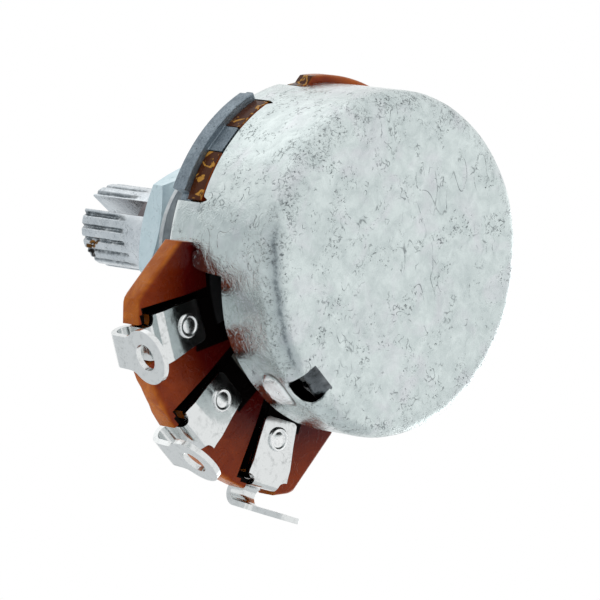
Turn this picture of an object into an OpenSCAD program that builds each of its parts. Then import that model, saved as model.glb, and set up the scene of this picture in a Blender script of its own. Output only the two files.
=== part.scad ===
// Panel rotary potentiometer: drawn steel cover, moulded terminal board, split knurled shaft.
// Every sub-part is built along +Z with its terminals towards -Y, and then laid on its side:
// in the finished part the shaft points to -Y and the terminals point down, to -Z.
// The origin is the middle of the mounting face, where the shaft axis leaves the plate.

/* [Cover] */
// Outside diameter of the drawn cover
cover_d = 24; // [23.5:0.1:25]
// Sheet thickness of the cover
cover_t = 0.45; // [0.35:0.05:0.55]
// Depth of the cover behind the terminal board
cover_depth = 8.2; // [7.8:0.1:10]
// Outside radius round the back edge of the cover
cover_fillet = 1.4; // [0.9:0.1:1.8]
// Inside radius where the tabs fold over the plate
fold_r = 0.15; // [0.1:0.05:0.3]
// Height of the cut-away over the terminals
window_h = 2.7; // [2:0.1:3]
// Half angle of the cut-away over the terminals
window_half = 43; // [40:1:46]
// Width of each folded tab, in degrees
tab_angle = 14; // [10:1:15]
// How far each tab folds inwards over the plate
tab_reach = 2.2; // [1.5:0.1:3]
// Direction of the lower tabs below the side axis
tab_low = 31; // [29:1:33]
// Direction of the upper tabs above the side axis
tab_high = 28; // [27:1:30]
// Width of the turned-in stop tongue
stop_w = 3; // [2:0.1:3.6]
// Length of the turned-in stop tongue
stop_l = 2.4; // [2:0.1:2.6]
// Distance of the stop tongue from the axis
stop_r = 9.95; // [9.6:0.05:10.2]

/* [Mounting plate] */
// Thickness of the mounting plate
plate_t = 1.2; // [1:0.1:1.6]
// Outside diameter of the two rim segments
rim_d = 25; // [24.6:0.1:26]
// Half width of each rim segment, in degrees
rim_half = 21; // [16:1:21]
// Width of the tooth that keys the board
tooth_w = 2.2; // [1.5:0.1:3]

/* [Bushing] */
// Thread diameter of the bushing
thread_d = 7; // [6.8:0.1:8]
// Length of the bushing in front of the plate
bushing_l = 10.5; // [9:0.5:12]
// Distance between the thread grooves
thread_pitch = 0.75; // [0.7:0.05:0.8]
// Depth of the thread grooves
thread_depth = 0.25; // [0.15:0.05:0.3]
// Width of the flat crest between two thread grooves
thread_crest = 0.2; // [0.1:0.05:0.3]
// Diameter of the shank staked into the plate
shank_d = 8.6; // [8.4:0.1:9.4]
// Chamfer at the mouth of the bushing
bushing_chamfer = 0.4; // [0.2:0.1:0.6]

/* [Nut and washer] */
// Width of the nut across its flats
nut_af = 10.5; // [10:0.5:12]
// Thickness of the nut
nut_t = 2; // [1.5:0.1:2.5]
// How far inside the flats the bevel of the nut starts
nut_bevel_in = 0.1; // [0.05:0.05:0.2]
// Distance from the plate to the front of the nut
nut_front = 10.1; // [9:0.1:10.4]
// Direction in which one flat of the nut faces
nut_turn = -33; // [-60:1:0]
// Outside diameter of the washer
washer_d = 12; // [11:0.5:13]
// Thickness of the washer
washer_t = 0.4; // [0.3:0.1:0.8]
// Distance from the plate to the front of the washer
washer_front = 7.3; // [1:0.1:7.4]

/* [Shaft] */
// Diameter of the shaft
shaft_d = 6; // [5.9:0.05:6]
// Diameter of the shaft behind the clip
collar_d = 5.8; // [5.6:0.05:5.8]
// Length of the collar behind the clip
collar_l = 1; // [0.8:0.1:1.1]
// Distance from the plate to the end of the shaft
shaft_end = 19; // [17:0.5:25]
// Chamfer at the end of the shaft
shaft_chamfer = 0.2; // [0.1:0.05:0.4]
// Length of the knurl
knurl_l = 4.9; // [4:0.1:6]
// Number of teeth round the knurl
knurl_teeth = 20; // [18:1:24]
// Depth of the grooves between the teeth
knurl_depth = 0.18; // [0.1:0.02:0.24]
// Width of the grooves between the teeth
knurl_groove_w = 0.36; // [0.3:0.02:0.42]
// Depth of the split in the shaft
slot_depth = 5.8; // [4:0.1:6]
// Width of the split in the shaft
slot_w = 1.2; // [0.8:0.1:1.6]
// Direction of the split at the middle of the travel
slot_turn = -6; // [-90:1:90]
// Width of the shaft tail across its two flats
tail_af = 4; // [3.6:0.1:4.6]
// Turning range of the shaft, in degrees
travel = 300; // [270:5:300]

/* [Retaining clip] */
// Outside diameter of the clip
clip_d = 8.6; // [8:0.1:9]
// Thickness of the clip
clip_t = 0.5; // [0.4:0.05:0.6]
// Depth of the clip groove in the shaft
groove_depth = 0.7; // [0.5:0.05:0.8]
// Width of the opening in the clip
clip_gap = 3.6; // [3:0.1:4]

/* [Terminal board] */
// Thickness of the moulded board
board_t = 1.4; // [1.2:0.1:1.8]
// How far the skirt stands in front of the board
skirt_step = 0.3; // [0.1:0.05:0.5]
// Half width of the skirt
skirt_half = 10.45; // [10.2:0.05:11]
// Distance from the axis to the top of the skirt
skirt_top = 7.9; // [7.8:0.1:8.4]
// Distance from the axis to the corner cuts of the skirt
skirt_corner = 13.1; // [12.8:0.1:13.6]
// Outside radius of the skirt
skirt_r = 17.15; // [16.9:0.05:17.6]
// Outside diameter of the crown opposite the terminals
crown_d = 25; // [24.6:0.1:25.4]
// Half width of the crown, in degrees
crown_half = 51; // [46:1:52]
// Diameter of the hole in the middle of the board
board_bore = 10; // [9.6:0.1:10.4]
// Depth of the groove beside each terminal
groove_cut = 1.2; // [0.8:0.1:1.2]
// Width of the groove beside each terminal
groove_w = 0.45; // [0.3:0.05:0.6]

/* [Track and collector] */
// Thickness of the printed layers
layer_t = 0.08; // [0.05:0.01:0.12]
// Radius at which the outer contact runs
track_r = 9.5; // [9.4:0.1:9.6]
// Width of the resistive track
track_w = 2.2; // [1.6:0.1:2.4]
// Radius at which the inner contact runs
collector_r = 6.2; // [6.1:0.1:6.4]
// Width of the collector ring
collector_w = 1.6; // [1.2:0.1:1.8]
// Width of the pad under each terminal
pad_w = 2.2; // [1.6:0.1:2.6]

/* [Terminals] */
// Angle between neighbouring terminals
pitch = 27.5; // [27:0.5:28]
// Sheet thickness of the terminals
tag_t = 0.4; // [0.35:0.05:0.5]
// Distance from the axis to the shoulders of a terminal
tag_outer = 16; // [15.6:0.1:16.2]
// Length of the flat plate of a terminal
tag_l = 4.2; // [4:0.1:4.4]
// Distance from the shoulders of a terminal to the edge that its strip goes over
strip_run = 0.8; // [0.6:0.1:1]
// Width of a terminal at its inner end
tag_w_in = 3; // [2.6:0.1:3.2]
// Width of a terminal at its shoulders
tag_w_out = 3.8; // [3.2:0.1:4]
// Width of the strip that leaves the board
strip_w = 2.4; // [2:0.1:2.6]
// How far the strip reaches forward of the terminal plate
strip_drop = 2.5; // [2.2:0.1:2.8]
// Distance between the two legs of the bent strip, middle to middle
leg_pitch = 1.1; // [1:0.05:1.3]
// Outward lean of the solder leg, in degrees
leg_lean = 4; // [0:1:8]
// Distance from the foot of the bend to the middle of the eyelet
leg_l = 3.15; // [3:0.05:4]
// Outside diameter of the solder eyelet
eyelet_d = 3.9; // [3.5:0.1:4.2]
// Hole diameter of the solder eyelet
eyelet_bore = 1.9; // [1.4:0.1:2.2]

/* [Rivets] */
// Shank diameter of the rivets
rivet_d = 1.3; // [1:0.1:1.5]
// Head diameter of the rivets
rivet_head_d = 1.7; // [1.6:0.1:2.2]
// Head height of the rivets
rivet_head_h = 0.2; // [0.15:0.05:0.4]
// Bevel round the back of each rivet head
rivet_bevel = 0.2; // [0.1:0.05:0.25]
// Distance from the inner end of a terminal to its rivet
rivet_in = 1.4; // [1.2:0.1:1.6]

/* [Rotor] */
// Diameter of the rotor disc
rotor_d = 21.6; // [21:0.1:22]
// Thickness of the rotor disc
rotor_t = 1.8; // [1.7:0.1:2]
// Distance from the board to the rotor disc
rotor_gap = 2; // [1.8:0.1:2.1]
// Diameter of the rotor hub
hub_d = 8; // [7:0.1:8.6]
// Height of the rotor hub in front of the disc
hub_h = 0.9; // [0.5:0.1:1.2]
// Height of the stop lug behind the disc
lug_h = 3; // [2.8:0.1:3.2]
// Inside radius of the stop lug
lug_inner = 8.4; // [8:0.1:9]
// Diameter of the moulded pegs that hold the wiper
peg_d = 0.9; // [0.7:0.1:1]
// Height of the moulded pegs
peg_h = 0.5; // [0.4:0.1:0.6]
// Distance between the two pegs
peg_pitch = 1.8; // [1.6:0.1:2]

/* [Wiper] */
// Sheet thickness of the wiper spring
wiper_t = 0.2; // [0.15:0.05:0.25]
// Width of each contact finger
finger_w = 1; // [0.8:0.1:1.2]
// Length of each contact finger
finger_l = 3.4; // [3:0.1:3.8]
// Length of the foot of the wiper
foot_l = 1.6; // [1.4:0.1:1.8]
// Radius of each contact dimple
dimple_r = 0.35; // [0.3:0.05:0.4]

/* [Clearances] */
// Radial running clearance of the shaft in the bushing
run_fit = 0.04; // [0.02:0.01:0.06]
// Radial interference of the staked shank
stake_fit = 0.02; // [0.01:0.01:0.03]
// Gap round parts that are assembled by hand
hand_fit = 0.05; // [0.03:0.01:0.1]
// Gap round the shank of each rivet and each moulded peg
rivet_fit = 0.025; // [0.02:0.005:0.05]
// Gap between the plate and the front edge of each folded tab
tab_fit = 0.15; // [0.1:0.05:0.25]
// Gap on each side of a folded tab, in degrees
tab_side_fit = 0.7; // [0.5:0.1:1]
// Gap between the board and the end of the tooth that keys it
tooth_fit = 0.1; // [0.05:0.05:0.3]
// Gap between the stop tongue and the slits beside it
slit_fit = 0.25; // [0.15:0.05:0.4]
// Gap under the wiper contacts
contact_fit = 0.03; // [0.02:0.01:0.05]
// Gap at the end of travel, in degrees
stop_fit = 0.6; // [0.4:0.1:1]
// Overlap that joins two shapes of one sub-part
join = 0.1; // [0.05:0.05:0.15]

/* [Hidden] */
$fn = 96;

cover_r = cover_d / 2;
cover_inner = cover_r - cover_t;
board_back = -(plate_t + board_t);
cover_back = board_back - cover_depth;
skirt_front = -plate_t + skirt_step;
thread_r = thread_d / 2;
shaft_r = shaft_d / 2;
layer_back = board_back - layer_t;
tag_back = layer_back - tag_t;
tag_inner = tag_outer - tag_l;
rivet_r = tag_inner + rivet_in;
rivet_hole = rivet_d / 2 + rivet_fit;
notch_r = tag_outer + strip_run;
strip_outer = notch_r + hand_fit + tag_t;
bend_r = (leg_pitch + tag_t) / 2;
bend_front = tag_back + strip_drop;
rotor_front = board_back - rotor_gap;
rotor_back = rotor_front - rotor_t;
groove_front = -plate_t - hand_fit;
clip_back = groove_front - clip_t;
collar_back = clip_back - collar_l;
tab_ledge = cover_t + hand_fit;
past = 1;
tab_places = [-tab_low, tab_high, 180 - tab_high, 180 + tab_low];
down = -90;
tongue_half = asin(stop_w / 2 / stop_r);
lug_half = 180 - travel / 2 - tongue_half - stop_fit;

// Lays a sub-part on its side, shaft to -Y and terminals to -Z
module laid() { rotate([90, 0, 0]) children(); }

// Ring between two radii and two heights
module ring(r_in, r_out, z0, z1) {
    translate([0, 0, z0]) difference() {
        cylinder(r = r_out, h = z1 - z0);
        translate([0, 0, -past]) cylinder(r = r_in, h = z1 - z0 + 2 * past);
    }
}

// Solid sector of a disc, centred on one direction
module sector(r_in, r_out, z0, z1, mid, half) {
    translate([0, 0, z0]) rotate([0, 0, mid - half]) rotate_extrude(angle = 2 * half)
        translate([r_in, 0]) square([r_out - r_in, z1 - z0]);
}

// Half section of a closed can: flat end, rounded edge, straight wall
module can_section(r, depth, fillet) {
    square([r - fillet, depth]);
    square([r, depth - fillet]);
    translate([r - fillet, depth - fillet]) circle(r = fillet);
}

// Half section of the folded front: the wall goes forward and turns in over the plate
module fold_section() {
    fold = cover_t + fold_r;
    translate([0, board_back - join]) difference() {
        can_section(cover_r, join - board_back, fold);
        can_section(cover_inner, join - board_back - cover_t, fold_r);
        translate([-past, -past]) square([cover_r - tab_reach + past, join - board_back + 2 * past]);
    }
}

// Cuts the folded front away in one direction, so that only the tabs stay
module front_cut(mid, half) {
    sector(cover_r - tab_reach - past, cover_r + past, board_back, past, mid, half);
}

module rear_cover() {
    shear = stop_w / 2 + slit_fit;
    side_mid = (tab_high - tab_low) / 2;
    side_half = (tab_high + tab_low - tab_angle) / 2;
    color([0.80, 0.83, 0.82]) laid() difference() {
        union() {
            rotate_extrude() {
                mirror([0, 1]) translate([0, -board_back]) difference() {
                    can_section(cover_r, cover_depth, cover_fillet);
                    can_section(cover_inner, cover_depth - cover_t, cover_fillet - cover_t);
                }
                fold_section();
            }
            translate([-stop_w / 2, -stop_r - cover_t - join, cover_back + cover_t / 2])
                cube([stop_w, cover_t + join, stop_l]);
        }
        front_cut(side_mid, side_half);
        front_cut(180 - side_mid, side_half);
        front_cut(-down, 90 - tab_high - tab_angle / 2);
        front_cut(down, 90 - tab_low - tab_angle / 2);
        sector(cover_inner - past, cover_r + past, board_back - window_h, board_back + past,
               down, window_half);
        translate([-shear, -cover_r - past, cover_back - past])
            cube([2 * shear, cover_r + past - stop_r - cover_t, stop_l + past]);
    }
}

module mounting_plate() {
    color([0.62, 0.66, 0.69]) laid() difference() {
        union() {
            translate([0, 0, -plate_t]) cylinder(r = cover_inner - hand_fit, h = plate_t);
            for (side = [0, 180]) {
                sector(cover_inner - past, rim_d / 2, -plate_t, 0, side, rim_half);
                rotate([0, 0, side])
                    translate([cover_inner - past, -tooth_w / 2, board_back + tooth_fit])
                        cube([past + cover_t, tooth_w, board_t]);
            }
        }
        for (place = tab_places)
            sector(cover_r - tab_reach - tab_fit, rim_d, -tab_ledge, past,
                   place, tab_angle / 2 + tab_side_fit);
        translate([0, 0, -plate_t - past]) cylinder(d = shank_d, h = plate_t + 2 * past);
    }
}

// One groove of the thread and the crest in front of it, drawn as plain rings
function thread_turn(z) = [
    [thread_r, z], [thread_r - thread_depth, z + (thread_pitch - thread_crest) / 2],
    [thread_r, z + thread_pitch - thread_crest]];

module bushing() {
    shank_r = shank_d / 2 + stake_fit;
    bore_r = shaft_r + run_fit;
    thread_front = bushing_l - bushing_chamfer;
    turns = floor((thread_front - thread_crest) / thread_pitch);
    color([0.78, 0.80, 0.80]) laid() rotate_extrude() polygon(concat(
        [[bore_r, -plate_t], [shank_r, -plate_t], [shank_r, 0], [thread_r, 0]],
        [for (i = [turns : -1 : 1]) each thread_turn(thread_front - i * thread_pitch)],
        [[thread_r, thread_front], [thread_r - bushing_chamfer, bushing_l], [bore_r, bushing_l]]));
}

// The grooves of the knurl, which start in line with the split and leave wide teeth between them
module knurl_grooves() {
    opening = knurl_groove_w / 2 * (knurl_depth + past) / knurl_depth;
    translate([0, 0, shaft_end - knurl_l]) linear_extrude(knurl_l + past)
        for (i = [1 : knurl_teeth - 1]) if (i != knurl_teeth / 2) rotate(i * 360 / knurl_teeth)
            polygon([[shaft_r - knurl_depth, 0], [shaft_r + past, -opening], [shaft_r + past, opening]]);
}

module shaft() {
    groove_r = shaft_r - groove_depth;
    color([0.82, 0.84, 0.85]) laid() difference() {
        union() {
            rotate_extrude() polygon([
                [0, collar_back], [collar_d / 2, collar_back],
                [collar_d / 2, clip_back - hand_fit], [groove_r, clip_back - hand_fit],
                [groove_r, groove_front + hand_fit], [shaft_r, groove_front + hand_fit],
                [shaft_r, shaft_end - shaft_chamfer], [shaft_r - shaft_chamfer, shaft_end],
                [0, shaft_end]]);
            intersection() {
                translate([0, 0, rotor_back - hand_fit])
                    cylinder(d = collar_d, h = collar_back + join - rotor_back + hand_fit);
                translate([-shaft_r, -tail_af / 2, rotor_back - past])
                    cube([shaft_d, tail_af, clip_back - rotor_back + past]);
            }
        }
        rotate([0, 0, slot_turn]) {
            knurl_grooves();
            translate([-shaft_r - past, -slot_w / 2, shaft_end - slot_depth])
                cube([shaft_d + 2 * past, slot_w, slot_depth + past]);
        }
    }
}

module retaining_clip() {
    color([0.45, 0.46, 0.47]) laid() difference() {
        ring(shaft_r - groove_depth + hand_fit, clip_d / 2, clip_back, groove_front);
        translate([-clip_gap / 2, 0, clip_back - past])
            cube([clip_gap, clip_d, clip_t + 2 * past]);
    }
}

// Places of the two pegs on the rotor, beside the contact fingers
function peg_places() = [for (side = [-1, 1])
    [-finger_l - foot_l / 2, (collector_r + track_r + side * peg_pitch) / 2]];

module rotor() {
    color([0.16, 0.14, 0.12]) laid() difference() {
        union() {
            translate([0, 0, rotor_back]) cylinder(d = rotor_d, h = rotor_t);
            translate([0, 0, rotor_back]) cylinder(d = hub_d, h = rotor_t + hub_h);
            sector(lug_inner, rotor_d / 2, rotor_back - lug_h, rotor_back + join, -down, lug_half);
            for (place = peg_places()) translate([place[0], place[1], rotor_front - join])
                cylinder(d = peg_d, h = peg_h + join);
        }
        intersection() {
            translate([0, 0, rotor_back - past])
                cylinder(r = collar_d / 2 + hand_fit, h = rotor_t + hub_h + 2 * past);
            translate([-shaft_r, -tail_af / 2 - hand_fit, rotor_back - past])
                cube([shaft_d, tail_af + 2 * hand_fit, rotor_t + hub_h + 2 * past]);
        }
    }
}

// One finger: a leaf that rises from the foot and ends in a round contact
module finger(y, contact_z) {
    rise = contact_z - dimple_r - (rotor_front + wiper_t / 2);
    lean = atan(rise / finger_l);
    translate([-finger_l, y - finger_w / 2, rotor_front + wiper_t / 2]) rotate([0, -lean, 0])
        translate([-join, 0, -wiper_t / 2]) cube([finger_l / cos(lean) + join, finger_w, wiper_t]);
    translate([0, y, contact_z - dimple_r]) sphere(r = dimple_r, $fn = 32);
}

module wiper_spring() {
    contact_z = layer_back - contact_fit;
    foot_y0 = collector_r - finger_w / 2;
    foot_y1 = track_r + finger_w / 2;
    color([0.72, 0.58, 0.30]) laid() {
        difference() {
            translate([-finger_l - foot_l, foot_y0, rotor_front])
                cube([foot_l, foot_y1 - foot_y0, wiper_t]);
            for (place = peg_places()) translate([place[0], place[1], rotor_front - past])
                cylinder(r = peg_d / 2 + rivet_fit, h = wiper_t + 2 * past);
        }
        for (y = [collector_r, track_r]) finger(y, contact_z);
    }
}

// Outline of the flat plate of one terminal, along +X from the axis
module tag_outline() {
    polygon([[tag_inner, -tag_w_in / 2], [tag_outer, -tag_w_out / 2],
             [tag_outer, tag_w_out / 2], [tag_inner, tag_w_in / 2]]);
}

// Outline of the groove along one side of the plate, out to the notch in the edge
module groove_outline() {
    polygon([[tag_inner, tag_w_in / 2], [tag_outer, tag_w_out / 2], [tag_outer, strip_w / 2],
             [notch_r + join, strip_w / 2], [notch_r + join, tag_w_out / 2 + groove_w],
             [tag_outer, tag_w_out / 2 + groove_w], [tag_inner, tag_w_in / 2 + groove_w]]);
}

module skirt_outline() {
    low = skirt_r + past;
    run = low - skirt_corner;
    intersection() {
        circle(r = skirt_r);
        polygon([[-skirt_half, -skirt_top], [-skirt_half, -skirt_corner],
                 [-skirt_half + run, -low], [skirt_half - run, -low],
                 [skirt_half, -skirt_corner], [skirt_half, -skirt_top]]);
    }
}

module terminal_board() {
    color([0.52, 0.20, 0.08]) laid() difference() {
        union() {
            translate([0, 0, board_back]) cylinder(r = cover_r, h = board_t);
            sector(cover_r - past, crown_d / 2, board_back, -plate_t, -down, crown_half);
            translate([0, 0, board_back]) linear_extrude(board_t) skirt_outline();
            translate([0, 0, board_back]) linear_extrude(skirt_front - board_back) difference() {
                skirt_outline();
                circle(r = cover_r + 2 * hand_fit);
            }
        }
        translate([0, 0, board_back - past]) cylinder(d = board_bore, h = board_t + 2 * past);
        for (place = tab_places)
            sector(cover_inner - hand_fit, rim_d, board_back - past, past,
                   place, tab_angle / 2 + tab_side_fit);
        for (side = [0, 180]) rotate([0, 0, side])
            translate([cover_inner - past - hand_fit, -tooth_w / 2 - hand_fit, board_back - past])
                cube([2 * past + cover_t, tooth_w + 2 * hand_fit, board_t + 2 * past]);
        for (turn = [-pitch, 0, pitch]) rotate([0, 0, down + turn]) {
            translate([0, 0, board_back - join]) linear_extrude(groove_cut + join)
                groove_outline();
            translate([notch_r, -strip_w / 2 - groove_w / 2, board_back - past])
                cube([2 * past, strip_w + groove_w, board_t + 2 * past]);
            translate([rivet_r, 0, board_back - past]) cylinder(r = rivet_hole, h = board_t + 2 * past);
        }
    }
}

// Outline of the pad that leads a printed layer out under one terminal
module lead_outline(turn, r_in) {
    rotate(down + turn) translate([r_in, -pad_w / 2]) square([tag_outer - r_in, pad_w]);
}

module rivet_hole_outline(turn) {
    rotate(down + turn) translate([rivet_r, 0]) circle(r = rivet_hole);
}

module ring_outline(r_mid, w) {
    difference() {
        circle(r = r_mid + w / 2);
        circle(r = r_mid - w / 2);
    }
}

module resistive_track() {
    end_half = pitch - asin(pad_w / 4 / track_r);
    reach = 2 * cover_r;
    color([0.10, 0.10, 0.10]) laid() translate([0, 0, layer_back]) linear_extrude(layer_t) {
        difference() {
            union() {
                difference() {
                    ring_outline(track_r, track_w);
                    polygon([[0, 0], [-reach * sin(end_half), -reach * cos(end_half)],
                             [reach * sin(end_half), -reach * cos(end_half)]]);
                }
                for (turn = [-pitch, pitch]) lead_outline(turn, track_r);
            }
            for (turn = [-pitch, pitch]) rivet_hole_outline(turn);
        }
    }
}

module collector_ring() {
    color([0.80, 0.80, 0.76]) laid() translate([0, 0, layer_back]) linear_extrude(layer_t)
        difference() {
            union() {
                ring_outline(collector_r, collector_w);
                lead_outline(0, collector_r);
            }
            rivet_hole_outline(0);
        }
}

// Side view of the bent strip: over the edge, forward, round the bend and back
module strip_profile() {
    bend_x = strip_outer + (leg_pitch - tag_t) / 2;
    bend_y = bend_front - bend_r;
    translate([tag_outer - join, tag_back]) square([strip_outer - tag_outer + join, tag_t]);
    translate([strip_outer - tag_t, tag_back]) square([tag_t, bend_y - tag_back]);
    translate([bend_x, bend_y]) difference() {
        circle(r = bend_r);
        circle(r = bend_r - tag_t);
        translate([-2 * bend_r, -2 * bend_r]) square([4 * bend_r, 2 * bend_r]);
    }
    translate([bend_x, bend_y]) rotate(leg_lean) {
        translate([bend_r - tag_t, -leg_l]) square([tag_t, leg_l]);
        intersection() {
            difference() {
                circle(r = bend_r);
                circle(r = bend_r - tag_t);
            }
            translate([0, -bend_r]) square([2 * bend_r, bend_r]);
        }
    }
}

// One terminal, riveted flat to the board, with a solder eyelet on its bent leg
module terminal(turn) {
    bend_x = strip_outer + (leg_pitch - tag_t) / 2;
    bend_y = bend_front - bend_r;
    laid() rotate([0, 0, down + turn]) difference() {
        union() {
            translate([0, 0, tag_back]) linear_extrude(tag_t) tag_outline();
            translate([0, strip_w / 2, 0]) rotate([90, 0, 0]) linear_extrude(strip_w) strip_profile();
            translate([bend_x, 0, bend_y]) rotate([0, -leg_lean, 0])
                translate([bend_r - tag_t, 0, -leg_l]) rotate([0, 90, 0])
                    cylinder(d = eyelet_d, h = tag_t);
        }
        translate([bend_x, 0, bend_y]) rotate([0, -leg_lean, 0])
            translate([bend_r - tag_t - past, 0, -leg_l]) rotate([0, 90, 0])
                cylinder(d = eyelet_bore, h = tag_t + 2 * past);
        translate([rivet_r, 0, tag_back - past])
            cylinder(r = rivet_hole, h = tag_t + 2 * past);
    }
}

module terminal_left() { color([0.83, 0.84, 0.84]) terminal(-pitch); }
module terminal_middle() { color([0.83, 0.84, 0.84]) terminal(0); }
module terminal_right() { color([0.83, 0.84, 0.84]) terminal(pitch); }

// One solid rivet through a terminal, its pad and the board
module rivet(turn) {
    color([0.88, 0.88, 0.87]) laid() rotate([0, 0, down + turn]) translate([rivet_r, 0, 0])
        rotate_extrude() polygon([
            [0, tag_back - rivet_head_h],
            [rivet_head_d / 2 - rivet_bevel, tag_back - rivet_head_h],
            [rivet_head_d / 2, tag_back - rivet_head_h / 2], [rivet_head_d / 2, tag_back],
            [rivet_d / 2, tag_back], [rivet_d / 2, skirt_front],
            [rivet_head_d / 2, skirt_front], [rivet_head_d / 2, skirt_front + rivet_head_h],
            [0, skirt_front + rivet_head_h]]);
}

module rivet_left() { rivet(-pitch); }
module rivet_middle() { rivet(0); }
module rivet_right() { rivet(pitch); }

module washer() {
    color([0.74, 0.77, 0.78]) laid()
        ring(thread_r + hand_fit, washer_d / 2, washer_front - washer_t, washer_front);
}

module hex_nut() {
    corner_r = nut_af / 2 / cos(30);
    face_r = nut_af / 2 - nut_bevel_in;
    bevel = corner_r - face_r + nut_bevel_in;
    bevel_h = bevel * tan(30);
    color([0.70, 0.76, 0.78]) laid() translate([0, 0, nut_front - nut_t]) difference() {
        intersection() {
            rotate([0, 0, nut_turn + 30]) cylinder(r = corner_r, h = nut_t, $fn = 6);
            rotate_extrude() polygon([
                [0, 0], [face_r, 0], [face_r + bevel, bevel_h],
                [face_r + bevel, nut_t - bevel_h], [face_r, nut_t], [0, nut_t]]);
        }
        translate([0, 0, -past]) cylinder(r = thread_r + hand_fit, h = nut_t + 2 * past);
    }
}

rear_cover();
mounting_plate();
bushing();
shaft();
retaining_clip();
rotor();
wiper_spring();
terminal_board();
resistive_track();
collector_ring();
terminal_left();
terminal_middle();
terminal_right();
rivet_left();
rivet_middle();
rivet_right();
washer();
hex_nut();
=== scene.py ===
# %% [markdown]
# # A panel potentiometer in bright sheet metal and moulded resin
# The part is a 24 mm rotary potentiometer, seen from behind and a little to one side.
# Its solids come from the CAD model. This lesson dresses them: pressed steel with dents and
# scratches, a rolled thread, a knurled and split shaft, tinned terminals and glossy board edges.

# %% The frame that every piece is fitted to
import math

import bmesh
import bpy
import numpy as np
from mathutils import Matrix, Vector


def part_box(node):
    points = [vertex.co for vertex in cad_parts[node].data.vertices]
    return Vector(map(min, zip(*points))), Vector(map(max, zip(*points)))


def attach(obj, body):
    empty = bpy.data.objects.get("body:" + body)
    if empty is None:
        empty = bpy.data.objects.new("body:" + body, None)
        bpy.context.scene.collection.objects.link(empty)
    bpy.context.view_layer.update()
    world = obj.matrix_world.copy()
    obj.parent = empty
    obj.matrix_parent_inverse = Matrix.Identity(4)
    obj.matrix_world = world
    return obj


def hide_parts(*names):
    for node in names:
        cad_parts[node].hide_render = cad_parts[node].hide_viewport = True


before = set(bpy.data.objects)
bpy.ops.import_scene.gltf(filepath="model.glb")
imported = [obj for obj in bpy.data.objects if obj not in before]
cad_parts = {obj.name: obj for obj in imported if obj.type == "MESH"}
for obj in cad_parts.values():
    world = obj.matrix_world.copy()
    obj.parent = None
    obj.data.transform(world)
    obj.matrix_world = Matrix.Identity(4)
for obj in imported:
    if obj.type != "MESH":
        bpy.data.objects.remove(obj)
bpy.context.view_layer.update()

# %% [markdown]
# ## Working directions
# Turned parts are easiest to draw standing on their axis: z runs forward along the shaft and
# y points away from the terminals. One function lays such points on their side, where the
# part has them. All lengths are typed in millimetres.

# %% Millimetres, places and the cover's main sizes
MM, WELD, DOWN = 0.001, 1e-7, -90.0
COVER_R, SHEET, FILLET = 12.0, 0.45, 1.4
BACK, BOARD_BACK = -10.8, -2.6
FLAT = COVER_R - FILLET


def lay(x, y, z):
    """Shaft-up millimetres to the part's frame in metres: (x, y, z) becomes (x, -z, y)."""
    x, y, z = np.broadcast_arrays(x, y, z)
    return np.stack([x, -z, y], -1) * MM


def turned(r, angle, z):
    """Points at distance r from the shaft axis, angle degrees from +x, height z."""
    a = np.radians(angle)
    return lay(r * np.cos(a), r * np.sin(a), z)


def swung(x, y, z, angle):
    """Points in shaft-up millimetres, turned about the shaft by angle degrees and then laid."""
    a = math.radians(angle)
    return lay(x * math.cos(a) - y * math.sin(a), x * math.sin(a) + y * math.cos(a), z)


def off(angle, middle):
    """Degrees from a direction, between -180 and 180."""
    return (angle - middle + 180) % 360 - 180


def node_mm(node):
    """Lowest and highest corner of a CAD node in shaft-up millimetres."""
    low, high = (np.array(c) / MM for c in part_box(node))
    return np.array([low[0], low[2], -high[1]]), np.array([high[0], high[2], -low[1]])


for name in ("rear_cover", "terminal_board", "shaft"):
    print(name, *(np.round(c, 2) for c in node_mm(name)))

# %% [markdown]
# ## From arrays to pieces
# A surface here is a grid of points, worked out all at once. Each point is joined with its
# neighbours into quads. Doubles are merged, so seams and poles are closed, and the faces are
# turned outwards before any wall gets its thickness.

# %% Helpers that turn grids into pieces
def quads(nu, nv, wrap_u=False, wrap_v=False):
    """Faces of an nu by nv grid: point (i, j) with (i+1, j), (i+1, j+1) and (i, j+1)."""
    i, j = np.meshgrid(np.arange(nu - (not wrap_u)), np.arange(nv - (not wrap_v)), indexing="ij")
    i2, j2 = (i + 1) % nu, (j + 1) % nv
    return np.stack([i * nv + j, i2 * nv + j, i2 * nv + j2, i * nv + j2], -1)


def shell(points, wrap_u=False, wrap_v=False, keep=None):
    """A grid of points with its faces, of which keep may leave some out."""
    faces = quads(points.shape[0], points.shape[1], wrap_u, wrap_v)
    return points.reshape(-1, 3), (faces if keep is None else faces[keep]).reshape(-1, 4)


def piece(name, shells, body, node, material, smooth=35.0, outside=None):
    """Stacks shells into one mesh on a body and turns its faces the same way. An open sheet is
    flipped as a whole if most of its faces look towards the point called outside."""
    counts = np.cumsum([0] + [len(p) for p, _ in shells])
    points = np.concatenate([p for p, _ in shells])
    faces = np.concatenate([f + c for (_, f), c in zip(shells, counts)])
    mesh = bpy.data.meshes.new(name)
    mesh.from_pydata(points.tolist(), [], faces.tolist())
    bm = bmesh.new()
    bm.from_mesh(mesh)
    bmesh.ops.remove_doubles(bm, verts=bm.verts, dist=WELD)
    bmesh.ops.dissolve_degenerate(bm, edges=bm.edges, dist=WELD)
    bmesh.ops.recalc_face_normals(bm, faces=bm.faces)
    bm.normal_update()
    if outside is not None:
        centre = Vector(outside)
        if sum(f.calc_area() * f.normal.dot(f.calc_center_median() - centre) for f in bm.faces) < 0:
            bmesh.ops.reverse_faces(bm, faces=bm.faces)
    bm.to_mesh(mesh)
    bm.free()
    return hang(bpy.data.objects.new(name, mesh), body, node, material, smooth)


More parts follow.
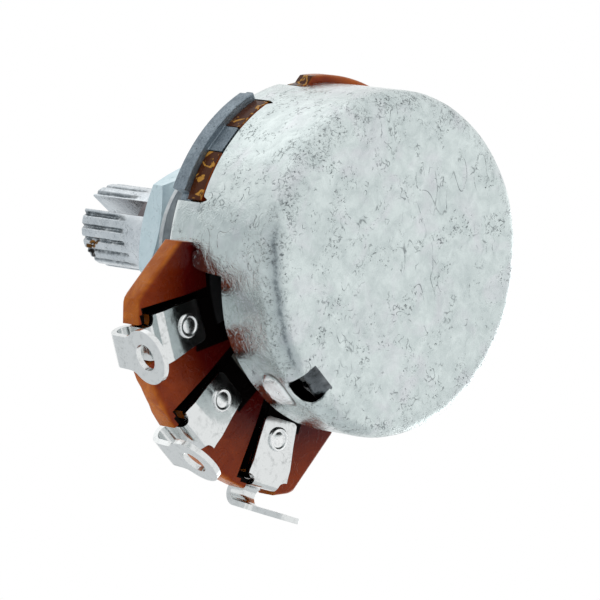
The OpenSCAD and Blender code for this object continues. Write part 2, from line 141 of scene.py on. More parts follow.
def hang(obj, body, node, material, smooth=35.0):
    """Links a finished object, shades it, and hangs it on its body in place of its CAD node."""
    bpy.context.scene.collection.objects.link(obj)
    mesh = obj.data
    mesh.polygons.foreach_set("use_smooth", np.ones(len(mesh.polygons), bool))
    mesh.set_sharp_from_angle(angle=math.radians(smooth))
    mesh.materials.clear()
    mesh.materials.append(material)
    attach(obj, body)
    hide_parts(node)
    print(f"{obj.name}: {len(mesh.vertices)} points, {len(mesh.polygons)} faces")
    return obj


def thicken(obj, wall, offset=-1.0):
    """Gives an open sheet its wall, in millimetres, inwards by default."""
    solid = obj.modifiers.new("wall", "SOLIDIFY")
    solid.thickness = wall * MM
    solid.offset = offset
    solid.use_quality_normals = True


def soften(obj, width, segments=2, limit=40.0):
    """Rounds every edge that is sharper than limit, by a width in millimetres."""
    bevel = obj.modifiers.new("soft edges", "BEVEL")
    bevel.width = width * MM
    bevel.segments = segments
    bevel.limit_method = "ANGLE"
    bevel.angle_limit = math.radians(limit)
    bevel.use_clamp_overlap = True
    bevel.harden_normals = True


def moulded_copy(name, node, body, material, width):
    """A welded copy of a CAD node with its flat faces joined up and its edges rounded."""
    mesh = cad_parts[node].data.copy()
    mesh.name = name
    bm = bmesh.new()
    bm.from_mesh(mesh)
    bmesh.ops.remove_doubles(bm, verts=bm.verts, dist=WELD * 10)
    bmesh.ops.dissolve_limit(bm, angle_limit=math.radians(0.4), verts=bm.verts, edges=bm.edges)
    bm.to_mesh(mesh)
    bm.free()
    obj = hang(bpy.data.objects.new(name, mesh), body, node, material)
    soften(obj, width, 3)
    return obj


# %% [markdown]
# ## Finishes
# Real metal is never one colour: it has clouds, scratches, pits and rubbed places. Each finish
# here is a small node tree on Object coordinates in millimetres. It could be painted as an image,
# but nodes stay sharp at any size and follow a change of shape. Written out node by node a tree is
# hard to read, so two small classes let the outputs of nodes be added and multiplied as numbers.

# %% Node outputs that can be added and multiplied
def operation(name, swapped=False):
    """A method that joins a node output with a number or another output by one Math node."""
    def method(self, other=0.0):
        pair = (other, self) if swapped else (self, other)
        return self.nodes.node("Math", {"operation": name}, *pair)
    return method


class Value:
    """The output of a node. a | b is the larger of the two, and a > b is 1 where it is true."""
    __add__ = __radd__ = operation("ADD")
    __mul__ = __rmul__ = operation("MULTIPLY")
    __or__ = __ror__ = operation("MAXIMUM")
    __sub__, __rsub__ = operation("SUBTRACT"), operation("SUBTRACT", swapped=True)
    __truediv__, __pow__, __abs__ = operation("DIVIDE"), operation("POWER"), operation("ABSOLUTE")
    __gt__, __lt__ = operation("GREATER_THAN"), operation("LESS_THAN")
    root, whole, arctan2 = operation("SQRT"), operation("ROUND"), operation("ARCTAN2")

    def __init__(self, nodes, socket):
        self.nodes, self.socket = nodes, socket

    def ramp(self, low, high, out_low=0.0, out_high=1.0, kind="LINEAR"):
        """A ramp that stays level past its ends: low gives out_low, high gives out_high."""
        return self.nodes.node("MapRange", {"clamp": True, "interpolation_type": kind}, Value=self,
                               From_Min=low, From_Max=high, To_Min=out_low, To_Max=out_high)

    def mix(self, a, b):
        """Colour a where this value is 0, b where it is 1."""
        return self.nodes.node("MixRGB", Fac=self, Color1=a, Color2=b)


class Nodes:
    """A node tree with a short way to add to it."""

    def __init__(self, tree):
        self.tree = tree

    def put(self, target, value):
        """Links a node output to a socket, or sets a plain number or colour on it."""
        if isinstance(value, Value):
            self.tree.links.new(value.socket, target)
        else:
            target.default_value = value

    def node(self, kind, settings=(), *numbered, output=0, **named):
        """Adds one node, fills its inputs by number or by name, and gives one of its outputs."""
        node = self.tree.nodes.new("ShaderNode" + kind)
        for key, value in dict(settings).items():
            setattr(node, key, value)
        for key, value in [*enumerate(numbered), *named.items()]:
            self.put(node.inputs[key if isinstance(key, int) else key.replace("_", " ")], value)
        return Value(self, node.outputs[output])


# %% A finish, its noises and its scratches
class Finish(Nodes):
    """A material. Its places are in millimetres: x and z across the shaft, y along it to the back."""

    def __init__(self, name):
        self.material = bpy.data.materials.new(name)
        self.material.use_nodes = True
        super().__init__(self.material.node_tree)
        self.mm = self.node("Mapping", Vector=self.node("TexCoord", output="Object"), Scale=(1 / MM,) * 3)

    def wear(self, **sockets):
        """Links or sets the shader's own sockets."""
        for key, value in sockets.items():
            self.put(self.tree.nodes["Principled BSDF"].inputs[key.replace("_", " ")], value)

    def bump(self, height, strength, depth):
        """Gives the surface a fine relief, depth in millimetres."""
        self.wear(Normal=self.node("Bump", Strength=strength, Distance=depth * MM, Height=height))

    def place(self):
        """x, y, z and the distance from the shaft axis."""
        x, y, z = (self.node("SeparateXYZ", (), self.mm, output=axis) for axis in "XYZ")
        return x, y, z, (x * x + z * z).root()

    def noise(self, scale, detail=3.0, rough=0.5, lift=0.0, where=None):
        """Noise between 0 and 1, with features about 1/scale of a millimetre long."""
        return self.node("TexNoise", Vector=where or self.mm, Scale=scale, Detail=detail,
                         Roughness=rough, Distortion=lift)

    def hairlines(self, turn, stretch, scale, width, amount):
        """Thin wandering lines: 1 where a stretched noise is within width of its middle value, in
        the patches where a broad noise is above 1 - amount."""
        turned_to = self.node("Mapping", Vector=self.mm, Rotation=[math.radians(a) for a in turn])
        drawn = self.node("Mapping", Vector=turned_to, Scale=stretch)
        line = abs(self.noise(scale, 1.0, 0.35, 0.2, drawn) - 0.5).ramp(0.0, width, 1.0, 0.0)
        return line * self.noise(scale * 0.35, 2.0, where=turned_to).ramp(1.0 - amount, 1.06 - amount)


def rgb(r, g, b):
    """A display colour of 0 to 255 as the linear colour that a shader takes."""
    c = np.array([r, g, b]) / 255
    return (*np.where(c <= 0.04045, c / 12.92, ((c + 0.055) / 1.055) ** 2.4), 1.0)


# %% [markdown]
# ## Handled sheet metal
# The cover is plated steel that has been in many hands. Its long cracks, short squiggles and fine
# scratches are the places where a stretched noise crosses its middle value, which draws thin,
# wandering lines; a second, broad noise breaks them into short ones. Pits come in crowds. The
# same recipe with other tones does the nut, washer, shaft, bushing and clip.

# %% Bright plated sheet, scratched and pitted
def worn_sheet(name, light, dark, rough, grain, mark, bump, wear=None):
    """Plated steel: cloudy brightness, hairlines, pits and a fine bump. wear, if given, changes the colour,
    with wear and painted shade, the marks and the roughness by the place on the part."""
    finish = Finish(name)
    noise, hairlines = finish.noise, finish.hairlines
    clouds = noise(0.25, 4.0, 0.6, 0.6).ramp(0.32, 0.68)
    blotch = noise(1.1, 5.0, 0.7, 0.5).ramp(0.36, 0.68)
    lines = hairlines((20, 35, 10), (0.8, 1.3, 1.7), 0.42, 0.012, 0.40)
    lines |= hairlines((-40, 15, 60), (1.5, 0.8, 1.1), 0.95, 0.020, 0.40)
    lines |= hairlines((5, -50, -25), (1.0, 1.0, 1.0), 2.1, 0.045, 0.42)
    lines *= noise(3.0, 2.0, 0.7).ramp(0.36, 0.50)
    pits = noise(4.4, 3.0, 0.8).ramp(0.58, 0.66) * noise(0.5, 2.0).ramp(0.50, 0.64)
    marks = (lines * 0.8 + pits).ramp(0.0, 1.0)
    base = (clouds * 0.4 + blotch * 0.6).mix(light, dark)
    if wear is not None:
        base, marks, rough = wear(finish, base, marks, rough)
    base = (marks * mark).mix(base, rgb(84, 90, 94))
    finish.wear(Base_Color=base, Metallic=1.0, Roughness=blotch * 0.06 + marks * 0.25 + rough)
    finish.bump(noise(grain, 3.0, 0.7) * 0.25 - marks * 0.8 + blotch * 0.5, bump, 0.05)
    return finish.material


# %% Where the cover is rubbed and pressed, with painted shade and a painted highlight
PAD_SIDE, PAD_Z, PAD_HALF, PAD_DEEP = 0.38, -8.0, 1.4, 0.86
# Near black: painted shade on the inside of the can.
INSIDE_SHADE = rgb(12, 11, 11)


def painted_fold_shade(finish, base, x, z, bend):
    """A dark broken line of painted shade in a softer grey band of painted shade, which runs along the
    rounded edge beside the tear.
    around is the angle round the shaft, bend the angle round the edge, both in radians."""
    around = x.arctan2(z * -1.0)
    middle = around.ramp(0.65, 1.06, 0.78, 1.16)
    off_line = abs(finish.noise(1.3, 4.0, 0.7) * 0.40 + bend - middle)
    length = around.ramp(0.14, 0.26) * around.ramp(0.98, 1.12, 1.0, 0.0)
    base = (off_line.ramp(0.06, 0.46, 0.46, 0.0) * length).mix(base, rgb(150, 160, 166))
    broken = finish.noise(3.4, 4.0, 0.8).ramp(0.42, 0.56, 0.15, 1.0)
    return (off_line.ramp(0.05, 0.17, 0.62, 0.0) * length * broken).mix(base, rgb(84, 94, 100))


def cover_wear_and_shade(finish, base, marks, rough):
    """The rounded edge is rubbed and pitted, with a band of painted shade beside the tear; the stop's pad
    gets a painted highlight in a ring of painted shadow, and the inside is painted near black as shade.
    The skin's distance from the rounded edge's own centre tells inside from outside. Towards its open
    edge the wall keeps its drawn polish, in streaks."""
    noise = finish.noise
    x, y, z, radius = finish.place()
    out, back = (radius - FLAT) | 0.0, (y - (-BACK - FILLET)) | 0.0
    edge = radius.ramp(10.3, 11.1) * y.ramp(8.9, 9.9) * noise(0.8).ramp(0.36, 0.56)
    grit = edge * noise(4.2, 4.0, 0.85).ramp(0.54, 0.62)
    base = (edge * 0.10).mix(base, rgb(160, 168, 172))
    base = (noise(0.35, 2.0, 0.5, 1.0).ramp(0.5, 0.72) * 0.3).mix(base, rgb(214, 208, 218))
    # Painted shade: a dark broken line in a softer grey band along the rounded edge beside the tear.
    base = painted_fold_shade(finish, base, x, z, out.arctan2(back))
    # Painted highlight on the stop's raised pad, in a ring of painted shadow that is darker towards the back.
    far = abs((x - PAD_SIDE) / PAD_HALF) ** 3.0 + abs((y + PAD_Z) / PAD_DEEP) ** 3.0
    low = z < -10.9
    pad = low * far.ramp(0.8, 1.0, 1.0, 0.0)
    crease_shadow = low * far.ramp(1.05, 1.25) * far.ramp(1.55, 1.9, 1.0, 0.0) * y.ramp(7.6, 8.3, 0.0, 0.8)
    base = crease_shadow.mix(pad.mix(base, rgb(250, 252, 252)), rgb(84, 72, 64))
    # Painted shade: the inside of the can is painted near black.
    inside = ((out * out + back * back).root() < 1.06) * (y > 2.75)
    streaks = noise(1.0, 3.0, 0.7, where=finish.node("Mapping", Vector=finish.mm, Scale=(4.0, 0.5, 4.0)))
    polish = (streaks * 3.0 + y).ramp(7.6, 9.4, 0.07, rough)
    return inside.mix(base, INSIDE_SHADE), marks * (1.0 - pad * 0.8) | grit, polish


# %% Where the shaft is pressed, sawn and bruised, with painted shade in its grooves and slot
TEETH, SPLIT_TURN = 20, -6.0
# Brown bruises near the shaft's end, and a black spot of painted shade in the nick at -84 degrees.
BRUISES_AND_NICK_SHADE = ((-61.5, 17.5, 0.30, (118, 84, 40)), (-66.9, 17.9, 0.34, (126, 86, 36)),
           (-72.6, 18.4, 0.32, (96, 66, 30)), (-84.2, 18.5, 0.40, (30, 26, 24)))


def shaft_wear_and_shade(finish, base, marks, rough):
    """Painted shade along the pressed grooves, which are counted from the split, with dark specks on
    the knurl, a bright plain neck below them, painted shade in the sawn slot that gets darker towards
    its floor, and bruises near the end: brown ones, and a black one that is painted shade in its nick."""
    noise, split = finish.noise, math.radians(SPLIT_TURN)
    x, y, z, radius = finish.place()
    place = (z.arctan2(x) - split) * (TEETH / math.tau)
    knurled = (noise(1.4, 2.0) * 1.2 + y).ramp(-13.9, -13.6, 1.0, 0.0) * radius.ramp(2.5, 2.62)
    # Painted shade along each pressed groove, broken up; dark specks on the knurl beside it.
    line = abs(place - place.whole()).ramp(0.13, 0.24, 1.0, 0.0) * knurled
    line *= noise(2.2, 3.0, 0.7).ramp(0.34, 0.52, 0.35, 1.0)
    speck = knurled * noise(4.5, 3.0, 0.8).ramp(0.58, 0.66)
    base = (knurled * 0.14).mix(base, rgb(160, 168, 172))
    base = ((line | speck * 0.7) * 0.7).mix(base, rgb(62, 70, 74))
    # Painted shade in the sawn slot, darker towards its floor.
    sawn = abs(z * math.cos(split) - x * math.sin(split)).ramp(0.61, 0.64, 1.0, 0.0)
    base = (sawn * y.ramp(-18.2, -13.9, 0.0, 0.9)).mix(base, rgb(74, 62, 64))
    # Brown bruises, and the last spot black: painted shade in its nick.
    for angle, height, size, colour in BRUISES_AND_NICK_SHADE:
        spot = tuple(turned(3.0, angle, height) / MM)
        gap = finish.node("VectorMath", {"operation": "DISTANCE"}, finish.mm, spot, output="Value")
        base = gap.ramp(size * 0.8, size, 1.0, 0.0).mix(base, rgb(*colour))
    return base, marks, rough


# %% The sheet finishes of this part
cover_metal = worn_sheet("cover_steel_scratched_painted_shade", rgb(218, 228, 227), rgb(184, 195, 195), 0.22, 6.0, 0.88,
                         0.7, cover_wear_and_shade)
# The tongue is the cover's steel in much darker tones: painted shade, as it stands inside the can.
tongue_shaded_metal = worn_sheet("tongue_torn_painted_shade", rgb(122, 128, 132), rgb(40, 43, 46), 0.20, 2.2, 0.7, 1.0)
washer_metal = worn_sheet("washer_stamped", rgb(205, 210, 212), rgb(150, 156, 160), 0.3, 9.0, 0.3, 0.4)
nut_metal = worn_sheet("nut_pale_blue_plate", rgb(216, 232, 238), rgb(194, 214, 220), 0.34, 7.0, 0.25, 0.35)
shaft_metal = worn_sheet("shaft_pressed_painted_shade", rgb(226, 232, 236), rgb(190, 198, 204), 0.22, 9.0, 0.5, 0.4,
                         shaft_wear_and_shade)
bushing_metal = worn_sheet("bushing_turned", rgb(214, 218, 220), rgb(160, 165, 170), 0.3, 9.0, 0.3, 0.4)
clip_metal = worn_sheet("clip_spring_steel", rgb(150, 152, 156), rgb(96, 98, 102), 0.3, 9.0, 0.3, 0.4)
print("sheet finishes:", [m.name for m in bpy.data.materials][-7:])

# %% [markdown]
# ## Zinc, tin and resin
# The plate is grainy zinc, the terminals and rivets are bright tin, and the board is brown resin
# that lets light through where it is thin. Subsurface scattering would do that too, but it is slow
# and is lost in an export, so the cut sides simply get a lighter, orange tone.

# %% Grainy zinc and dipped tin
def grainy_plate(name, light, dark):
    """Zinc-plated plate, grainy from the press: a tight speckle in colour, gloss and height."""
    finish = Finish(name)
    grain = finish.noise(6.5, 4.0, 0.75)
    tone = grain.ramp(0.3, 0.7) * 0.6 + finish.noise(0.8).ramp(0.35, 0.68) * 0.4
    pits = finish.noise(4.0, 1.0).ramp(0.68, 0.74)
    finish.wear(Base_Color=(pits * 0.7).mix(tone.mix(light, dark), rgb(60, 64, 68)), Metallic=1.0,
                Roughness=grain.ramp(0.3, 0.7, 0.38, 0.62))
    finish.bump(grain, 0.7, 0.08)
    return finish.material


def tinned(name, light, dark, rough):
    """Dipped tin: bright, with slow thickness waves, small dull stains and short scratches."""
    finish = Finish(name)
    stains = finish.noise(1.8, 4.0, 0.7).ramp(0.52, 0.76)
    lines = finish.hairlines((25, -30, 40), (0.6, 1.8, 2.4), 1.4, 0.03, 0.42)
    marks = lines * 0.3 + finish.noise(9.0, 2.0, 0.8).ramp(0.66, 0.72) * 0.35
    base = marks.mix((stains * 0.6).mix(light, dark), rgb(90, 90, 92))
    finish.wear(Base_Color=base, Metallic=1.0, Roughness=stains * 0.15 + rough)
    finish.bump(finish.noise(0.6, 2.0, 0.5, 0.6) - lines * 0.1, 0.25, 0.1)
    return finish.material


plate_metal = grainy_plate("plate_zinc_grainy", rgb(158, 171, 180), rgb(92, 104, 114))
tag_tin = tinned("terminal_tin_bright", rgb(222, 225, 225), rgb(170, 174, 174), 0.14)
rivet_metal = tinned("rivet_bright", rgb(238, 240, 240), rgb(202, 205, 205), 0.26)
print("zinc and tin:", plate_metal.name, tag_tin.name, rivet_metal.name)

# %% Brown resin with black print at the terminals and painted shade in its grooves
# Near black: black print round the terminals, and painted shade in the grooves beside them.
BLACK_PRINT_AND_SHADE, PLACES = rgb(10, 6, 6), (-27.5, 0.0, 27.5)


def black_print_and_groove_shade(finish, x, z):
    """1 round the inner end of each terminal, where the board is printed black, and down its groove and the
    groove's way to the notch, which are painted black as their shade. Each terminal has its own two
    directions, out from the axis and across. flank is the distance from its plate's slanted side."""
    black = 0.0
    for turn in PLACES:
        a = math.radians(DOWN + turn)
        out, across = x * math.cos(a) + z * math.sin(a), z * math.cos(a) - x * math.sin(a)
        flank, slope = across - 0.377 - out * 0.0952, across / out
        groove = slope.ramp(0.110, 0.114) * slope.ramp(0.1515, 0.1545, 1, 0) * out.ramp(16.47, 16.5, 1, 0)
        hook = out.ramp(15.9, 15.95) * flank.ramp(-1.4, -1.3) * flank.ramp(0.1, 0.15, 1, 0)
        pool = (finish.noise(1.2) * 0.6 + out).ramp(12.7, 12.8, 1, 0)
        pool *= flank.ramp(-3.9, -3.8) * flank.ramp(0.30, 0.40, 1, 0)
        black = black | ((groove | hook) * out.ramp(16.7, 16.74, 1, 0) | pool) * out.ramp(0.0, 1.0)
    return black


def resin_board(name):
    """Glossy brown resin. Light runs in through the cut sides of the lower part, so they glow orange, and the
    crown at the top gets the same orange; near the can the faces are in its shade, painted a deep red; the
    cut edge in the side windows gets painted shade, dark brown, with painted gold highlights along its broken
    moulding fins, which are also bumped."""
    finish = Finish(name)
    noise = finish.noise
    x, y, z, radius = finish.place()
    facing = finish.node("SeparateXYZ", (), finish.node("TexCoord", output="Normal"), output="Y")
    side = abs(facing).ramp(0.45, 0.97, 1.0, 0.0)
    flow, dust = noise(0.5, 4.0, 0.6, 1.2), noise(5.0, 3.0, 0.7).ramp(0.6, 0.72)
    face = flow.ramp(0.3, 0.7).mix(rgb(160, 62, 14), rgb(132, 44, 10))
    shade = radius.ramp(12.4, 15.6, 1.0, 0.0) * z.ramp(-6.0, -4.0, 1.0, 0.0)
    # Painted shade of the can in deep red near it; the crown at the top gets the orange glow of light through
    # thin resin.
    face = z.ramp(9.0, 10.5).mix(shade.mix(face, rgb(84, 10, 8)), rgb(190, 92, 30))
    base = side.mix(face, flow.ramp(0.35, 0.65).mix(rgb(206, 116, 38), rgb(172, 84, 24)))
    flash_and_glints = noise(0.8, 3.0, 0.5, 2.2).ramp(0.55, 0.59)
    # Painted shade on the cut edge in the side windows, dark brown, with painted gold highlights along the
    # moulding fins.
    window_shade = side * z.ramp(-7.4, -6.8) * z.ramp(8.2, 8.8, 1.0, 0.0)
    base = window_shade.mix(base, flash_and_glints.mix(rgb(80, 38, 12), rgb(204, 146, 60)))
    # Black print round the terminals' inner ends, and painted shade down their grooves.
    black = black_print_and_groove_shade(finish, x, z) * y.ramp(1.28, 1.36)
    finish.wear(Base_Color=black.mix((dust * 0.10).mix(base, rgb(214, 150, 100)), BLACK_PRINT_AND_SHADE),
                Roughness=dust * 0.2 + flow.ramp(0.3, 0.7, 0.20, 0.34),
                Specular_IOR_Level=black.ramp(0.0, 1.0, 0.14, 0.02))
    finish.bump(flash_and_glints * 0.8 + flow, 0.3, 0.1)
    return finish.material


# %% Plain moulded, printed and rolled surfaces
def dull(name, light, dark, rough, scale, metallic=0.0, coated=False):
    """Two tones in a fine grain, with a light bump. A coated one is printed over in black where it
    comes out from below the cover."""
    finish = Finish(name)
    grain = finish.noise(scale, 4.0, 0.65)
    base = (grain * 0.6 + finish.noise(scale * 0.12, 2.0) * 0.5).ramp(0.35, 0.75).mix(light, dark)
    if coated:
        covered = finish.place()[3].ramp(10.2, 10.4)
        base = covered.mix(base, BLACK_PRINT_AND_SHADE)
        if metallic:
            metallic = metallic - covered * metallic
        finish.wear(Specular_IOR_Level=covered.ramp(0.0, 1.0, 0.5, 0.02))
    finish.wear(Base_Color=base, Metallic=metallic, Roughness=grain.ramp(0.3, 0.7, rough - 0.06, rough + 0.1))
    finish.bump(grain, 0.4, 0.05)
    return finish.material


board_resin = resin_board("board_resin")
rotor_resin = dull("rotor_moulded", rgb(24, 21, 20), rgb(14, 12, 12), 0.5, 5.0)
carbon_print = dull("carbon_print", rgb(44, 44, 46), rgb(24, 24, 26), 0.62, 12.0, coated=True)
silver_print = dull("silver_print", rgb(206, 204, 194), rgb(160, 158, 150), 0.42, 10.0, 1.0, coated=True)
wiper_brass = dull("wiper_rolled_brass", rgb(214, 180, 104), rgb(160, 124, 60), 0.3, 8.0, 1.0)
print("board and inner pieces:", board_resin.name, rotor_resin.name, wiper_brass.name)

# %% [markdown]
# ## The cover
# The cover is drawn from one sheet: a flat back, a rounded edge, a straight wall that is cut
# back over the terminals, and four tabs folded over the plate. A boolean would leave its wall
# too perfect, so the outer skin is one surface that follows the half section, its open edge
# moves with the angle, and Solidify gives the wall. Dents are pushed along the normal.

# %% The half section of the cover, and where its wall ends
BEND_L = FILLET * math.pi / 2
TAB_HALF, TAB_AT = 7.0, (-31.0, 28.0, 152.0, -149.0)
CUT_AT = (-43.2, -18, -10, 1, 8, 15, 25, 35, 43.2)
CUT_Z = (-5.6, -5.75, -5.7, -5.67, -5.65, -5.5, -5.45, -5.6, -5.65)
LOBE_AT = (43.2, 43.35, 43.7, 44.2, 44.7, 45.4, 46.8)
LOBE_Z = (-5.6, -5.0, -4.2, -3.5, -3.1, -2.85, -2.75)


def half_section(s):
    """Followed s mm from the middle: flat to FLAT, a quarter circle of FILLET, then the wall.
    Gives distance from the axis, height, and the outward normal's two parts."""
    turn = np.clip((s - FLAT) / FILLET, 0, math.pi / 2)
    r = np.minimum(s, FLAT) + FILLET * np.sin(turn)
    z = BACK + FILLET * (1 - np.cos(turn)) + np.maximum(s - FLAT - BEND_L, 0)
    return r, z, np.sin(turn), -np.cos(turn)


def from_down(angle):
    """Degrees from the terminals' direction, between -180 and 180."""
    return off(angle, DOWN)


def wall_end(angle):
    """How far forward the wall reaches. Over the terminals it is cut back, between two straight
    edges; at each tab it meets the board, with a small relief notch beside the tab's corners."""
    down = from_down(angle)
    cut = np.interp(down, CUT_AT, CUT_Z)
    lobe = np.interp(np.abs(down), LOBE_AT, LOBE_Z)
    beside = np.min([np.abs(off(angle, m)) - TAB_HALF for m in TAB_AT], axis=0)
    notch = 0.42 * np.exp(-((beside - 1.2) / 0.7) ** 2)
    whole = np.where(beside <= 1e-6, BOARD_BACK, lobe - notch)
    return np.where(np.abs(down) < LOBE_AT[0], cut, whole)


# %% Dents, creases and the pressed stop
DENTS = 90
rng = np.random.default_rng(24)
dent_at = np.stack([rng.uniform(-180, 180, DENTS), FLAT * np.sqrt(rng.uniform(0.02, 2.6, DENTS))], -1)
dent_width = rng.uniform(0.6, 2.2, DENTS)
dent_deep = -rng.uniform(0.006, 0.03, DENTS) * np.where(rng.random(DENTS) < 0.2, -0.5, 1)
BESIDE_TEAR = ((3.4, 1.5, 0.9, -0.22), (1.75, 0.35, 1.3, 0.12))


def soft_step(x):
    """0 up to 0 and 1 from 1 on, with a smooth rise between."""
    x = np.clip(x, 0, 1)
    return x * x * (3 - 2 * x)


def on_axis(angle, s):
    """The half section as plain points x, y, z round the axis, for distances between places."""
    r, z, _, _ = half_section(s)
    a = np.radians(angle)
    return np.stack([r * np.cos(a), r * np.sin(a), z], -1)


def handling(angle, s):
    """Height of the skin over its true shape: shallow round dents, slow ripples, the hollow beside
    the tear, the raised pad of the stop and the inturned lip in front of it."""
    here = on_axis(angle, s)
    there = on_axis(dent_at[:, 0], dent_at[:, 1])
    far = ((here[..., None, :] - there) ** 2).sum(-1)
    height = (dent_deep * np.exp(-far / dent_width ** 2)).sum(-1)
    x, y, z = here[..., 0], here[..., 1], here[..., 2]
    ripple = np.sin(x * 1.7 + 2 * np.sin(y * 0.9)) * np.cos(y * 1.3 + z * 1.1)
    height += 0.006 * ripple - 0.01
    side = np.radians(from_down(angle)) * COVER_R
    for middle, wide, long, high in BESIDE_TEAR:
        height += high * np.exp(-((side - middle) / wide) ** 2 - ((s - 11.6) / long) ** 2)
    far = (np.abs(side - PAD_SIDE) / PAD_HALF) ** 3 + (np.abs(z - PAD_Z) / PAD_DEEP) ** 3
    return height + (0.24 + 0.18 * (z - PAD_Z)) * soft_step((1.25 - far) / 0.7)


def cover_skin(angle, s, sink=0.0):
    """The half section turned round the axis, with every point moved along its normal."""
    r, z, nr, nz = half_section(s)
    rise = handling(angle, s) - sink
    return turned(r + nr * rise, angle, z + nz * rise)


# %% An opening in a grid
def ring_patch(u, v, block, opening, rings):
    """Fills a cut-out block of a grid around an opening. Each ring lies between the block's border
    and the opening, at the shares in rings; opening turns border points into points of its rim."""
    i0, i1, j0, j1 = block
    side = [np.stack(np.broadcast_arrays(i, j), -1) for i, j in (
        (np.arange(i0, i1), j0), (i1, np.arange(j0, j1)),
        (np.arange(i1, i0, -1), j1), (i0, np.arange(j1, j0, -1)))]
    loop = np.concatenate(side)
    lu, lv = u[loop[:, 0], loop[:, 1]], v[loop[:, 0], loop[:, 1]]
    eu, ev = opening(lu, lv)
    t = np.asarray(rings)[:, None]
    return lu * (1 - t) + eu * t, lv * (1 - t) + ev * t


def without_block(shape, block, wrap_u=False):
    """Which of a grid's faces stay when the block is cut out."""
    keep = np.ones((shape[0] - (not wrap_u), shape[1] - 1), bool)
    keep[block[0]:block[1], block[2]:block[3]] = False
    return keep


PER_DEGREE = math.radians(1) * COVER_R
TEAR_MIDDLE = np.array([0.2, 11.6])
TEAR_RIM = np.array([(1.5, 10.05), (0.2, 9.98), (-1.1, 10.05), (-1.2, 10.9), (-1.08, 12.0),
                     (-0.68, 12.75), (0.0, 13.05), (0.75, 12.98), (1.32, 12.68), (1.5, 11.6)]) - TEAR_MIDDLE


def tear(angle, s):
    """The tear that the tongue left: a rounded four-sided opening, given by its distance from the
    middle in each direction. Gives the rim point beyond each given point, as angle and s."""
    side, along = from_down(angle) * PER_DEGREE - TEAR_MIDDLE[0], s - TEAR_MIDDLE[1]
    a = np.arctan2(along, side)
    rim_a = np.arctan2(TEAR_RIM[:, 1], TEAR_RIM[:, 0])
    order = np.argsort(rim_a)
    t = np.linspace(0, 1, 9)[:-1, None]
    ring = np.concatenate([TEAR_RIM[order], TEAR_RIM[order[:1]]])
    fine = np.concatenate([p * (1 - t) + q * t for p, q in zip(ring, ring[1:])])
    r = np.interp(a, np.arctan2(fine[:, 1], fine[:, 0]), np.hypot(*fine.T), period=2 * math.pi)
    return DOWN + (TEAR_MIDDLE[0] + r * np.cos(a)) / PER_DEGREE, TEAR_MIDDLE[1] + r * np.sin(a)


# %% The grid of the cover, denser where its edge changes, with the tear in it
def pace(low, high):
    """Degrees between columns: fine on the short spans where the edge changes, coarse elsewhere."""
    if high - low < 3.7:
        return 0.15 if high - low > 3.3 else 0.3
    return 1.0 if abs(from_down((low + high) / 2)) < 17 else 1.4


marks = [a + h for a in TAB_AT for h in (-TAB_HALF - 3.2, -TAB_HALF, TAB_HALF, TAB_HALF + 3.2)]
edges = DOWN + np.array([-46.8, -43.2, 43.2, 46.8, -16, 16])
stops = np.unique(np.concatenate([[-180.0, 180.0], marks, edges]))
spans = list(zip(stops, stops[1:]))
angles = np.concatenate([np.linspace(a, b, round((b - a) / pace(a, b)) + 1)[:-1] for a, b in spans])
rows = np.concatenate([np.linspace(0, FLAT, 44, endpoint=False), np.linspace(FLAT, FLAT + BEND_L, 17)])
wall_l = wall_end(angles) - (BACK + FILLET)
s_grid = np.concatenate([np.broadcast_to(rows, (len(angles), len(rows))),
                         rows[-1] + wall_l[:, None] * np.linspace(0, 1, 44)[1:]], 1)
a_grid = np.broadcast_to(angles[:, None], s_grid.shape)


def nearest(values, target):
    """Index of the value nearest to a target."""
    return int(np.abs(values - target).argmin())


middle_row = s_grid[nearest(angles, DOWN)]
block = (*(nearest(angles, DOWN + h) for h in (-11, 12)), *(nearest(middle_row, s) for s in (9.3, 13.7)))
shares = np.array([0, 0.3, 0.55, 0.75, 0.88, 0.95, 1.0, 1.02])
curl = np.array([0, 0, 0, 0, 0.01, 0.04, 0.12, 0.24])[:, None]
pa, ps = ring_patch(a_grid, s_grid, block, tear, shares)
sink = curl * np.clip((ps[-1] - 10.2) / 0.6, 0, 1)
keep = without_block(s_grid.shape, block, wrap_u=True)
print("cover grid", s_grid.shape, "tear block", block)


# %% The folded tabs carry on from the wall's edge
def tab_skin(angle, t):
    """From the board forward, round a fold of 0.6 mm, then in towards the axis over the plate."""
    fold, reach = 0.6, 2.2
    lengths = np.array([-BOARD_BACK - fold, fold * math.pi / 2, reach - fold])
    ends = np.cumsum(lengths)
    s = t * ends[-1]
    turn = np.clip((s - ends[0]) / fold, 0, math.pi / 2)
    r = COVER_R - fold * (1 - np.cos(turn)) - np.maximum(s - ends[1], 0)
    z = BOARD_BACK + np.minimum(s, ends[0]) + fold * np.sin(turn)
    return turned(r, angle, z)


shells = [shell(cover_skin(a_grid, s_grid), wrap_u=True, keep=keep),
          shell(cover_skin(pa, ps, sink), wrap_v=True)]
for middle in TAB_AT:
    own = angles[(angles >= middle - TAB_HALF - 1e-6) & (angles <= middle + TAB_HALF + 1e-6)]
    shells.append(shell(tab_skin(own[:, None], np.linspace(0, 1, 22)[None, :])))
cover = piece("cover_shell", shells, "housing", "rear_cover", cover_metal,
              outside=lay(0, 0, (BACK + BOARD_BACK) / 2))
thicken(cover, SHEET)
soften(cover, 0.07, 2, 55)


# %% The tongue that stops the rotor
TONGUE_HALF, TONGUE_BEND, TONGUE_STAND, TONGUE_ROOT = 1.55, 0.95, 1.35, 9.98


